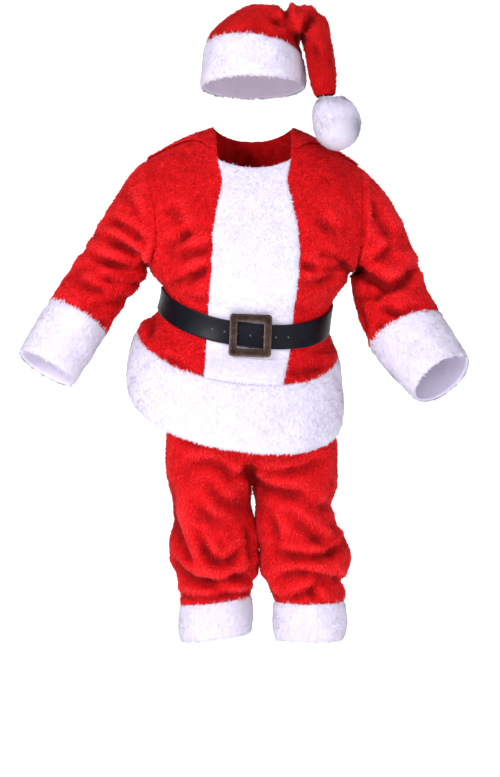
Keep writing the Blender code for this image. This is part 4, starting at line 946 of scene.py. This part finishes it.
t0 = theta_of(front_edge(BAND_TOP_Z), BAND_TOP_Z)
f_th = [float(t0 + (math.pi / 2 - t0) * s) for s in F_COLS[::2]]
f_cols = [-t for t in f_th[::-1]] + [float(t0 * s) for s in P_COLS[2:-2:2]] + f_th
k_cols = [math.pi / 2 * s for s in b_cols[::2]]
k_cols = [-(math.pi - t) for t in k_cols[::-1]] + [math.pi - t for t in k_cols[1:]]
for name, cols in (("hem_band_front", f_cols), ("hem_band_back", k_cols)):
    tt = np.array(cols)[None] + 0 * np.array(BAND_Z)[:, None]
    zb = np.array(BAND_Z, float)[:, None] + 0 * tt
    p, n = body_form(tt, zb), body_normals(tt, zb)
    lift = uneven(p, 85, 1.6, 61) + 0.6 * sunk(p, n, (TORSO, TORSO_BACK)) * fade(len(p), 0, 3)[:, None]
    ob, o, on = shell(name, draw_back(p, False), n, WHITE_WALL, WHITE_M, move=lift, edge=1.5)
    fur = pile(name, o, on, False, WHITE_TIP, "white_plush", seed=62 + len(cols), fold=lift, fringe="fl", fringe_length=6.0, **DEEP)
    keep_piece(name, ob, fur)

# ------------------------------------------------------------------ collar
COLLAR_COLUMNS = ("q", "x_in", "roll_in", "x_out", "roll_out")
COLLAR = [(0.0, 0, -72, 0, -103), (0.16, 42, -66, 70, -102), (0.3, 74, -48, 138, -98), (0.42, 87, -26, 196, -86),
          (0.52, 91, -10, 238, -46), (0.6, 92, 2, 248, -8), (0.68, 92, 12, 236, 9), (0.77, 91.5, 24, 196, 15),
          (0.86, 90.5, 36, 152, 26), (0.94, 89, 49, 120, 41), (1.0, 87.5, 60, 101, 57)]
LAID = (4.0, 7.0)


def rolled(x, g):
    """Point of the body form at x and roll angle g over the shoulder."""
    a = np.abs(g)
    drop = np.where(a < math.pi / 2, 1 - np.cos(a), 1 + (a - math.pi / 2)) * SHOULDER_ROUND
    z = shoulder_line(x) - drop
    t = theta_of(x, z)
    w = body["w"](z)
    d = np.where(g > 0, body["front"](z), body["back"](z)) * np.abs(np.cos(t)) ** (2 / SQUARE)
    y = -np.sign(g) * d * np.where(a < math.pi / 2, np.sin(a), 1.0)
    return place_body(x, y, z)


cf = [smooth(COLLAR, k) for k in range(1, 5)]


def collar_form(q, j):
    a = np.abs(q)
    x = cf[0](a) * (1 - j) + cf[2](a) * j
    g = np.radians(cf[1](a) * (1 - j) + cf[3](a) * j)
    return rolled(np.sign(q) * x, g)


qq = np.linspace(-1, 1, 121)[None] + 0 * np.linspace(0, 1, 20)[:, None]
jj = np.linspace(0, 1, 20)[:, None] + 0 * qq
cp = collar_form(qq, jj)
cn = unit(np.cross(np.gradient(cp, axis=1), np.gradient(cp, axis=0)))
cn = cn * np.sign((cn * (cp - np.array([7.0, 0.0, -140.0]))).sum(-1, keepdims=True))
lift = uneven(cp, 60, 0.6, 71) - 0.5 * jj ** 2
ob, o, on = shell("collar", cp, cn, LAID, RED_M, move=lift)
fur = pile("collar", o, on, False, RED_TIP, "red_plush", seed=72, fold=lift, fringe="l", fringe_length=5.0, fringe_step=2.5, **SHORT)
keep_piece("collar", ob, fur)

# ================================================================== trousers
hip = {c: smooth(HIP, i) for i, c in enumerate(HIP_COLUMNS) if i}


def leg_form(side, u, z):
    """One trouser leg: u runs from the inseam round the front, the outer side and the back to the inseam."""
    leg = {c: smooth(LEG[side], i) for i, c in enumerate(LEG_COLUMNS) if i}
    zc = np.minimum(z, CROTCH_Z)
    a = 2 * math.pi * u
    cx, cy, w, d = (leg[c](zc) for c in LEG_COLUMNS[1:])
    x = cx - side * w * np.cos(a)
    y = cy - d * np.sin(a)
    # over the crotch the section opens into half of the hips
    rise = np.clip((z - CROTCH_Z) / (HIP[-1][0] - CROTCH_Z), 0, 1)
    k = np.sin(np.clip(rise / 0.42, 0, 1) * math.pi / 2) ** 0.75
    hz = np.maximum(z, CROTCH_Z)
    b = math.pi * u
    hx = SEAT_X * (1 - rise) + hip["cx"](hz) * rise + side * hip["w"](hz) * np.abs(np.sin(b)) ** 0.9 * np.sign(np.sin(b) + 1e-9)
    hy = -np.where(b < math.pi / 2, hip["front"](hz), hip["back"](hz)) * np.sign(np.cos(b)) * np.abs(np.cos(b)) ** 0.9
    return np.stack([x * (1 - k) + hx * k, y * (1 - k) + hy * k, z + 0 * x], axis=-1)


for side, word in ((-1, "right"), (1, "left")):
    us = np.linspace(0, 1, 89)
    zs = np.concatenate([np.linspace(LEG[side][0][0], CROTCH_Z, 42), np.linspace(CROTCH_Z + 3, -442, 34)])
    uu = us[None] + 0 * zs[:, None]
    zz = zs[:, None] + 0 * uu
    p = leg_form(side, uu, zz)
    slope = CUFF_SLOPE[side] * np.clip((-1000 - zz) / 80, 0, 1)
    p[..., 2] += slope * (p[..., 0] - LEG[side][0][1])
    for j, zv in enumerate(zs):
        if zv > CROTCH_Z:
            for i in (0, -1):
                p[j, i, 0] = SEAT_X + (hip["cx"](zv) - SEAT_X) * np.clip((zv - CROTCH_Z) / (HIP[-1][0] - CROTCH_Z), 0, 1)
    ext = np.concatenate([p[:, -2:-1], p, p[:, 1:2]], axis=1)
    du = ext[:, 2:] - ext[:, :-2]
    for j, zv in enumerate(zs):
        if zv > CROTCH_Z:
            du[j, 0], du[j, -1] = np.array([side, 0, 0.0]), np.array([-side, 0, 0.0])
    n = outward(p, unit(np.cross(du, np.gradient(p, axis=0))))
    for j, zv in enumerate(zs):
        for i in (0, -1):
            if zv > CROTCH_Z:
                v = n[j, i].copy()
                v[0] = 0
                n[j, i] = unit(v)
            else:
                n[j, i] = unit(n[j, 0] + n[j, -1]) if i == 0 else n[j, 0]
    lift = (sunk(p, n, (LEGS, LEGS_BACK)) + uneven(p, 90, 2.2, 81)) * fade(len(p), 3, 4)[:, None]
    lift = lift - 7.0 * np.exp(-((zz + 846) / 34) ** 2) * np.clip((-side * n[..., 0] - 0.55) / 0.35, 0, 1) * (zz < CROTCH_Z)
    q = draw_back(p, False)
    q[:, 0, 0] = np.where(zs > CROTCH_Z, p[:, 0, 0] + side * 0.02, q[:, 0, 0])
    q[:, -1, 0] = np.where(zs > CROTCH_Z, p[:, -1, 0] + side * 0.02, q[:, -1, 0])
    ob, o, on = shell(f"trouser_leg_{word}", q, n, RED_WALL, RED_M, move=lift)
    fur = pile(f"trouser_leg_{word}", o, on, False, RED_TIP, "red_plush", seed=91 + side, fold=lift, fringe="az", fringe_length=3.5, fringe_step=3.0, keep=np.clip((-600 - zz) / 10, 0, 1), **SHORT)
    keep_piece(f"trouser_leg_{word}", ob, fur)
    # plush cuff of the leg
    tc = TROUSER_CUFF[side]
    cs = [smooth(tc, k) for k in range(1, 5)]
    cz = np.linspace(tc[0][0], tc[2][0] + 1.0, 16)
    uc = np.linspace(0, 1, 89)[:-1]
    uu2 = uc[None] + 0 * cz[:, None]
    z2 = cz[:, None] + 0 * uu2
    a = 2 * math.pi * uu2
    cp = np.stack([cs[0](z2) - side * cs[2](z2) * np.cos(a), cs[1](z2) - cs[3](z2) * np.sin(a), z2], axis=-1)
    cp[..., 2] += CUFF_SLOPE[side] * (cp[..., 0] - LEG[side][0][1])
    cp[-1] = p[0, :-1]
    cn = outward(cp, grid_normals(cp, True))
    cn[-1] = n[0, :-1]
    lift = uneven(cp, 60, 1.5, 101 + side)
    ob, o, on = shell(f"trouser_cuff_{word}", draw_back(cp, True), cn, WHITE_WALL, WHITE_M, closed=True, move=lift, edge=2)
    fur = pile(f"trouser_cuff_{word}", o, on, True, WHITE_TIP, "white_plush", seed=103 + side, fold=lift, fringe="fl", **DEEP)
    keep_piece(f"trouser_cuff_{word}", ob, fur)

# waistband: a casing gathered on its elastic
aa = (np.arange(240) / 240 * 2 * math.pi)[None] + 0 * np.zeros(9)[:, None]
zz = np.linspace(WAIST_Z, WAIST_Z + WAISTBAND_H, 9)[:, None] + 0 * aa
hw, hf, hb = hip["w"](zz), hip["front"](zz), hip["back"](zz)
wp = np.stack([hip["cx"](zz) + hw * np.sign(np.sin(aa)) * np.abs(np.sin(aa)) ** 0.9,
               -np.where(np.cos(aa) > 0, hf, hb) * np.sign(np.cos(aa)) * np.abs(np.cos(aa)) ** 0.9, zz + 0.6], axis=-1)
wn = outward(wp, grid_normals(wp, True))
gather = 0.9 * np.sin(aa * 46 + 1.3 * np.sin(aa * 7)) * np.sin(math.pi * (zz - WAIST_Z) / WAISTBAND_H) ** 0.5
ob, o, on = shell("waistband", wp, wn, (-1.6, 1.6), RED_M, closed=True, move=gather)
keep_piece("waistband", ob)

# ================================================================== hat
ha = (np.arange(96) * 2 * math.pi / 96)


def band_form(a, v):
    f = along(HAT_BAND)(v)
    x = f[..., 0] - f[..., 3] * np.cos(a)
    y = f[..., 1] - f[..., 4] * np.sin(a)
    z = f[..., 2] + f[..., 5] * np.sin(a) - f[..., 6] * np.cos(a)
    return np.stack([x, y, z], axis=-1)


vs = np.linspace(0, 1, 14)
hp = band_form(ha[None] + 0 * vs[:, None], vs[:, None] + 0 * ha[None])
hn = outward(hp, grid_normals(hp, True))
crown = along(CROWN)
kv = np.linspace(0, 1, 84)
f = crown(kv)
x0, z0, x1, z1, deep, cy, rise = (f[:, i:i + 1] for i in range(7))
gp = np.stack([(x0 + x1) / 2 + (x0 - x1) / 2 * np.cos(ha), cy - deep * np.sin(ha),
               (z0 + z1) / 2 + (z0 - z1) / 2 * np.cos(ha) + rise * np.sin(ha)], axis=-1)
gp[0] = hp[-1]
gn = outward(gp, grid_normals(gp, True))
seam = unit(hn[-1] + gn[0])
hn[-1] = gn[0] = seam
ob, o, on = shell("hat_band", draw_back(hp, True), hn, WHITE_WALL, WHITE_M, closed=True, move=uneven(hp, 60, 1.4, 111), edge=2)
fur = pile("hat_band", o, on, True, WHITE_TIP, "white_plush", seed=112, fringe="fl", **DEEP)
keep_piece("hat_band", ob, fur)
thin = np.clip((deep / 40), 0.25, 1)
lift = (sunk(gp, gn, (HAT, HAT_BACK)) + uneven(gp, 70, 2.0, 113)) * thin * fade(len(gp), 3, 4)[:, None]
# the crown's darker plush colours are painted shade
ob, o, on = shell("hat_crown", draw_back(gp, True), gn, RED_WALL, HAT_SHADED_M, closed=True, move=lift)
fur = pile("hat_crown", o, on, True, HAT_SHADED_TIP, "red_plush", seed=114, fold=lift, nap=-np.gradient(o, axis=0), **SHORT)
keep_piece("hat_crown", ob, fur)

# pompom: a stuffed ball of long pile
lat, lon = np.linspace(math.radians(POMPOM["seat"]), math.radians(176), 34), np.arange(64) * 2 * math.pi / 64
la, lo = lat[:, None] + 0 * lon[None], lon[None] + 0 * lat[:, None]
dirs = np.stack([np.sin(la) * np.cos(lo), np.sin(la) * np.sin(lo), np.cos(la)], axis=-1)
semi = np.array([POMPOM["rx"] + 1.0, POMPOM["ry"], POMPOM["rz"] + 1.5])
mid_p = np.array([POMPOM["x"], POMPOM["y"], POMPOM["z"]])
ball = mid_p + dirs * (semi - 4.0)
ball = ball + dirs * uneven(ball, 45, 0.8, 121)[..., None]
on = unit(dirs / semi)
# it hangs fuller on its outer lower side than where it is sewn on
up = np.clip(np.cos(la), 0, 1)
ball[..., 0] -= 13.0 * up ** 1.3
caps = np.array([ball[0].mean(0), ball[-1].mean(0)])
verts = np.concatenate([ball.reshape(-1, 3), caps])
q = quads_of(34, 64, True)
top, bottom = 34 * 64, 34 * 64 + 1
i = np.arange(64)
t1 = np.stack([i, (i + 1) % 64, np.full(64, top)], axis=-1)
t2 = np.stack([(i + 1) % 64 + 33 * 64, i + 33 * 64, np.full(64, bottom)], axis=-1)
q = q[:, ::-1]
loops_all = np.concatenate([q.ravel(), t1.ravel(), t2.ravel()])
pom = mesh_object("pompom_ball", verts * MM, np.concatenate([np.full(len(q), 4), np.full(128, 3)]), loops_all, WHITE_M)
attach(pom, "root")
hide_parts("pompom")
pom_pile = pile("pompom", ball, on, True, WHITE_TIP, "white_plush", each=5.2, length=9.0, width=3.8, lean=58, seed=122, curl=0.8, root=2.0, stand=0.3)
keep_piece("pompom", pom, pom_pile)

# ================================================================== belt
def belt_line(a, dz, off):
    """Point of the belt: a runs round from the front centre, dz up its width, off over the form."""
    z = BELT_Z + 0 * a
    e = 2e-3
    t = unit(body_form(a + e, z) - body_form(a - e, z))
    rise = (body_form(a, z + 1) - body_form(a, z - 1)) / 2
    z = z + dz / np.linalg.norm(rise - (rise * t).sum(-1, keepdims=True) * t, axis=-1)
    return body_form(a, z) + off[..., None] * body_normals(a, z)


turn = np.radians(np.linspace(BELT_START, 360 + TAIL_DEG, 420))
over = np.clip((np.degrees(turn) - 322) / 30, 0, 1)
over = over * over * (3 - 2 * over) * BELT_LIFT
edge_w = np.array([-1, -0.96, -0.88, -0.8, -0.5, 0, 0.5, 0.8, 0.88, 0.96, 1]) * BELT_W / 2
tt = turn[None] + 0 * edge_w[:, None]
dd = edge_w[:, None] + 0 * tt
# the free end's square tip has small rounded corners
tip = np.clip((tt - turn[-1] + math.radians(1.6)) / math.radians(1.6), 0, 1)
dd = dd * (1 - 0.035 * tip ** 3)
soft_wave = 0.5 * np.sin(tt * 7 + 0.6) + 0.35 * np.sin(tt * 17)
oo = (BELT_OFF + BELT_T / 2 + over)[None] + 0.35 * soft_wave
wrapped = (tt + math.pi) % (2 * math.pi) - math.pi
bp = belt_line(wrapped, dd, oo)
bn = unit(belt_line(wrapped, dd, oo + 1) - bp)
# plain cut edges, rounded off
x = np.abs(dd) / (BELT_W / 2)
lip = np.interp(x, [0, 0.86, 0.95, 1.0], [0, 0.05, -0.1, -0.8])
hi = BELT_T / 2 + lip
lo = -BELT_T / 2 + np.interp(x, [0, 0.93, 1.0], [0, 0, 0.6])
strap, o, on = shell("belt_strap", bp, bn, (lo, hi), VINYL)
strap.name = "belt_strap_vinyl"

# a row of punched holes at even steps round the buckle
HOLE_STEP, HOLE_R = 30.0, 2.3
at0 = belt_line(np.array([0.0]), np.array([0.0]), np.array([BELT_OFF]))[0]
cut_v, cut_f = [], []
scan = np.radians(np.linspace(-34, 34, 400))
mid_line = belt_line(scan, 0 * scan, 0 * scan + BELT_OFF + 6)
run = np.concatenate([[0], np.cumsum(np.linalg.norm(np.diff(mid_line, axis=0), axis=1))])
run = run - np.interp(0, scan, run)
for k in range(-3, 4):
    a = np.array([np.interp(k * HOLE_STEP, run, scan)])
    c = belt_line(a, np.array([0.0]), np.array([BELT_OFF + 4.0]))[0]
    d = unit(belt_line(a, np.array([0.0]), np.array([BELT_OFF + 14.0]))[0] - c)
    e1 = unit(np.cross(d, [0, 0, 1.0]))
    e2 = np.cross(d, e1)
    # each is punched down into the strap, its walls and floor coloured pale: painted highlight where the hole catches
    # the light
    bottom = float(np.interp(a[0] + 2 * math.pi, turn, over)) + BELT_T - 4.0 - 1.1
    base = len(cut_v)
    for h in (bottom, bottom + 9.0):
        for j in range(20):
            g = 2 * math.pi * j / 20
            cut_v.append(c + d * h + HOLE_R * (e1 * math.cos(g) + e2 * math.sin(g)))
    cut_f += [[base + j, base + (j + 1) % 20, base + 20 + (j + 1) % 20, base + 20 + j] for j in range(20)]
    cut_f += [[base + 19 - j for j in range(20)], [base + 20 + j for j in range(20)]]
me = bpy.data.meshes.new("hole_cutter")
me.from_pydata([tuple(float(w) * MM for w in v) for v in cut_v], [], cut_f)
me.update()
me.materials.append(HOLE_HIGHLIGHT)
strap.data.materials.append(HOLE_HIGHLIGHT)
me.polygons.foreach_set("material_index", [0] * len(me.polygons))
cutter = bpy.data.objects.new("hole_cutter", me)
bpy.context.scene.collection.objects.link(cutter)
md = strap.modifiers.new("holes", "BOOLEAN")
md.operation, md.solver, md.object, md.material_mode = "DIFFERENCE", "EXACT", cutter, "TRANSFER"
bpy.context.view_layer.update()
done = bpy.data.meshes.new_from_object(strap.evaluated_get(bpy.context.evaluated_depsgraph_get()))
strap.modifiers.clear()
done.set_sharp_from_angle(angle=math.radians(32))
strap.data = done
bpy.data.objects.remove(cutter)

# buckle: a square cast frame with rounded edges and a softly hammered face, and its bar
c0 = belt_line(np.array([0.0]), np.array([0.0]), np.array([BELT_OFF + BELT_T + BELT_LIFT + BUCKLE["stand"]]))[0]
c1 = belt_line(np.array([0.0]), np.array([0.0]), np.array([BELT_OFF + 20.0]))[0]
out = unit(c1 - c0)
out[2] = 0.0
out = unit(out)
side_v = unit(np.cross(np.array([0, 0, 1.0]), -out))
side_v = side_v * np.sign(side_v[0])
up_v = unit(np.cross(side_v, -out))
up_v = up_v * np.sign(up_v[2])
tl = math.radians(BUCKLE["tilt"])
side_r, up_r = side_v * math.cos(tl) - up_v * math.sin(tl), up_v * math.cos(tl) + side_v * math.sin(tl)


def square_ring(half, r, arc=7, edge=26):
    """Points round a square with rounded corners, as many for any size of it."""
    pts = []
    for k, (sx, sy) in enumerate(((1, 1), (-1, 1), (-1, -1), (1, -1))):
        for j in range(arc + 1):
            g = math.pi / 2 * (k + j / arc)
            pts.append((sx * (half - r) + r * math.cos(g), sy * (half - r) + r * math.sin(g)))
        x, y = pts[-1]
        step = 2 * (half - r) / edge
        dx, dy = ((-1, 0), (0, -1), (1, 0), (0, 1))[k]
        pts += [(x + dx * step * i, y + dy * step * i) for i in range(1, edge)]
    p = np.array(pts)
    return p[:, 0], p[:, 1]


H, W, T = BUCKLE["out"] / 2, BUCKLE["win"] / 2, BUCKLE["thick"]
section = [(H - 0.6, 0.0), (H, 0.6), (H, T - 2.0), (H - 0.5, T - 1.0), (H - 1.4, T - 0.3), (H - 2.4, T), (H - 4.5, T + 0.15),
           (H - 7.0, T + 0.2), (H - 9.5, T + 0.2), (W + 8.0, T + 0.2), (W + 5.5, T + 0.15), (W + 3.6, T), (W + 1.8, T - 0.3),
           (W + 0.9, T - 0.7), (W + 0.2, T - 1.2), (W, T - 2.0), (W, 0.6), (W + 0.6, 0.0)]
rings = []
for half_w, h in section:
    x, y = square_ring(half_w, np.interp(half_w, [W, H], [1.6, BUCKLE["round"] - 1.5]))
    rings.append(c0 + side_r * x[:, None] + up_r * y[:, None] + out * h)
rings = np.array(rings)
# cast faces are never dead flat
rng = np.random.default_rng(131)
wob = np.zeros(rings.shape[:2])
for _ in range(14):
    d = unit(rng.normal(size=3))
    wob += np.sin((rings * d).sum(-1) * 2 * math.pi / rng.uniform(7, 22) + rng.uniform(0, 6.28)) / 14
top_face = np.array([1.0 if h > T - 1.1 else 0.0 for _, h in section])[:, None]
rings = rings + out * (wob * 0.42 * top_face)[..., None]
m = rings.shape[1]
k, i = np.meshgrid(np.arange(len(section)), np.arange(m), indexing="ij")
k2, i2 = (k + 1) % len(section), (i + 1) % m
q = np.stack([k * m + i, k * m + i2, k2 * m + i2, k2 * m + i], axis=-1).reshape(-1, 4)
v = rings.reshape(-1, 3)
s = (np.cross(v[q[:, 1]] - v[q[:, 0]], v[q[:, 2]] - v[q[:, 0]]) * v[q[:, 0]]).sum() + (np.cross(v[q[:, 2]] - v[q[:, 0]], v[q[:, 3]] - v[q[:, 0]]) * v[q[:, 0]]).sum()
if s < 0:
    q = q[:, ::-1]
buckle = mesh_object("belt_buckle_frame", v * MM, np.full(len(q), 4), q.ravel(), BRONZE)
half_b, reach, deep = BUCKLE["bar"] / 2, W + 5.0, BUCKLE["stand"] + BELT_T + 1.5
prof = [(-reach, 1.0), (-reach, -deep), (reach, -deep), (reach, 1.0), (reach - 5.6, 1.0), (reach - 5.6, -deep + 1.0),
        (-reach + 5.6, -deep + 1.0), (-reach + 5.6, 1.0)]
bv = np.array([c0 + side_r * x + up_r * y + out * h for x in (-half_b, half_b) for y, h in prof])
k = len(prof)
bf = [(0, 1, 6, 7), (1, 2, 5, 6), (2, 3, 4, 5), (k + 7, k + 6, k + 1, k), (k + 6, k + 5, k + 2, k + 1), (k + 5, k + 4, k + 3, k + 2)]
bf += [(i, i + k, (i + 1) % k + k, (i + 1) % k) for i in range(k)]
bf = np.array(bf)
s = sum((np.cross(bv[f[1]] - bv[f[0]], bv[f[2]] - bv[f[0]]) * bv[f[0]]).sum() + (np.cross(bv[f[2]] - bv[f[0]], bv[f[3]] - bv[f[0]]) * bv[f[0]]).sum() for f in bf)
if s < 0:
    bf = bf[:, ::-1]
bar = mesh_object("belt_buckle_bar", bv * MM, np.full(len(bf), 4), bf.ravel(), BRONZE, smooth_it=False)
for o in (buckle, bar):
    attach(o, "root")
    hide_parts("belt_buckle")

# ================================================================== how the cloth is cut
# flat sizes in metres: width round the body or limb, length along it, and the area of the shaped cut
PLUSH_CUTS = {
    "jacket_front_right": ((0.24, 0.61), "hung", ("jacket_back",), 0.116),
    "jacket_front_left": ((0.25, 0.62), "hung", ("jacket_back",), 0.126),
    "jacket_back": ((0.62, 0.58), "hung", (), 0.298),
    "sleeve_right": ((0.48, 0.47), "draped", ("jacket_front_right", "jacket_back"), 0.172),
    "sleeve_left": ((0.48, 0.48), "draped", ("jacket_front_left", "jacket_back"), 0.176),
    "collar": ((0.62, 0.21), "laid", ("jacket_back", "jacket_front_right", "jacket_front_left"), 0.09),
    "front_strip": ((0.21, 0.54), "hung", ("jacket_front_right", "jacket_front_left"), 0.104),
    "hem_band_front": ((0.70, 0.165), "hung", ("jacket_front_right", "jacket_front_left", "front_strip"), None),
    "hem_band_back": ((0.68, 0.165), "hung", ("jacket_back",), None),
    "cuff_right": ((0.49, 0.135), "hung", ("sleeve_right",), None),
    "cuff_left": ((0.53, 0.145), "hung", ("sleeve_left",), None),
    "trouser_leg_right": ((0.66, 0.66), "gathered", ("waistband",), 0.382),
    "trouser_leg_left": ((0.66, 0.66), "gathered", ("waistband",), 0.386),
    "waistband": ((0.94, 0.04), "gathered", (), None),
    "trouser_cuff_right": ((0.46, 0.10), "hung", ("trouser_leg_right",), None),
    "trouser_cuff_left": ((0.47, 0.10), "hung", ("trouser_leg_left",), None),
    "hat_band": ((0.78, 0.085), "stretched", (), None),
    "hat_crown": ((0.76, 0.52), "folded", ("hat_band",), 0.134),
}
for node, (flat, held, on_it, area) in PLUSH_CUTS.items():
    ob, going = cloth[node]

# ================================================================== studio
def plain(name, colour, rough):
    m, t, b = nodes_of(name, colour, rough)
    g = noise(t, 3.0, 2.0)
    c = ramp(t, g.outputs["Fac"], [(0.3, tuple(x * 0.985 for x in colour)), (0.7, colour)])
    t.links.new(c.outputs["Color"], b.inputs["Base Color"])
    return m


# floor and far wall are one sheet of pale paper, so far back that the piece can be seen from all round
FLOOR_Z = -1.495
bend = np.radians(np.linspace(0, 90, 13))
sweep_y = [-10.0] + [7.6 + 1.4 * math.sin(g) for g in bend] + [9.0]
sweep_z = [0.0] + [1.4 * (1 - math.cos(g)) for g in bend] + [11.0]
sv = np.array([(x, y, z + FLOOR_Z) for y, z in zip(sweep_y, sweep_z) for x in (-12.0, 12.0)])
sq = np.array([(2 * i, 2 * i + 1, 2 * i + 3, 2 * i + 2) for i in range(len(sweep_y) - 1)])
paper = plain("studio_paper", (0.93, 0.93, 0.935), 0.9)
glow = paper.node_tree.nodes["Principled BSDF"]
glow.inputs["Emission Color"].default_value = (1, 1, 1, 1)
glow.inputs["Emission Strength"].default_value = 0.62
sweep = mesh_object("studio_sweep", sv, np.full(len(sq), 4), sq.ravel(), paper)

scene = bpy.context.scene
world = bpy.data.worlds.new("studio") if scene.world is None else scene.world
scene.world = world
world.use_nodes = True
bg = world.node_tree.nodes["Background"]
bg.inputs["Color"].default_value = (0.97, 0.98, 1.0, 1)
bg.inputs["Strength"].default_value = 0.5


def lamp(name, at, aim, size, power, colour=(1, 1, 1)):
    data = bpy.data.lights.new(name, "AREA")
    data.shape, data.size, data.size_y = "RECTANGLE", size[0], size[1]
    data.energy, data.color = power, colour
    ob = bpy.data.objects.new(name, data)
    scene.collection.objects.link(ob)
    ob.location = at
    ob.rotation_euler = (Vector(aim) - Vector(at)).to_track_quat("-Z", "Y").to_euler()


lamp("key", (-2.3, -3.4, 0.75), (0, 0, -0.5), (0.9, 1.1), 112)
lamp("fill", (2.6, -3.0, 0.4), (0, 0, -0.5), (1.6, 2.0), 34)
lamp("top", (0.2, -0.4, 2.6), (0, 0, -0.3), (1.6, 1.2), 24)
lamp("low", (0.0, -3.2, -1.1), (0, 0, -0.85), (2.2, 0.5), 16)

cam_data = bpy.data.cameras.new("camera")
cam_data.lens = 36 * 4.5 / (777 * 0.0024)
cam_data.sensor_width = 36
cam = bpy.data.objects.new("camera", cam_data)
cam.location = (0, -4.5, -0.5724)
cam.rotation_euler = (math.pi / 2, 0, 0)
scene.collection.objects.link(cam)
scene.camera = cam
scene.view_settings.view_transform = "Standard"
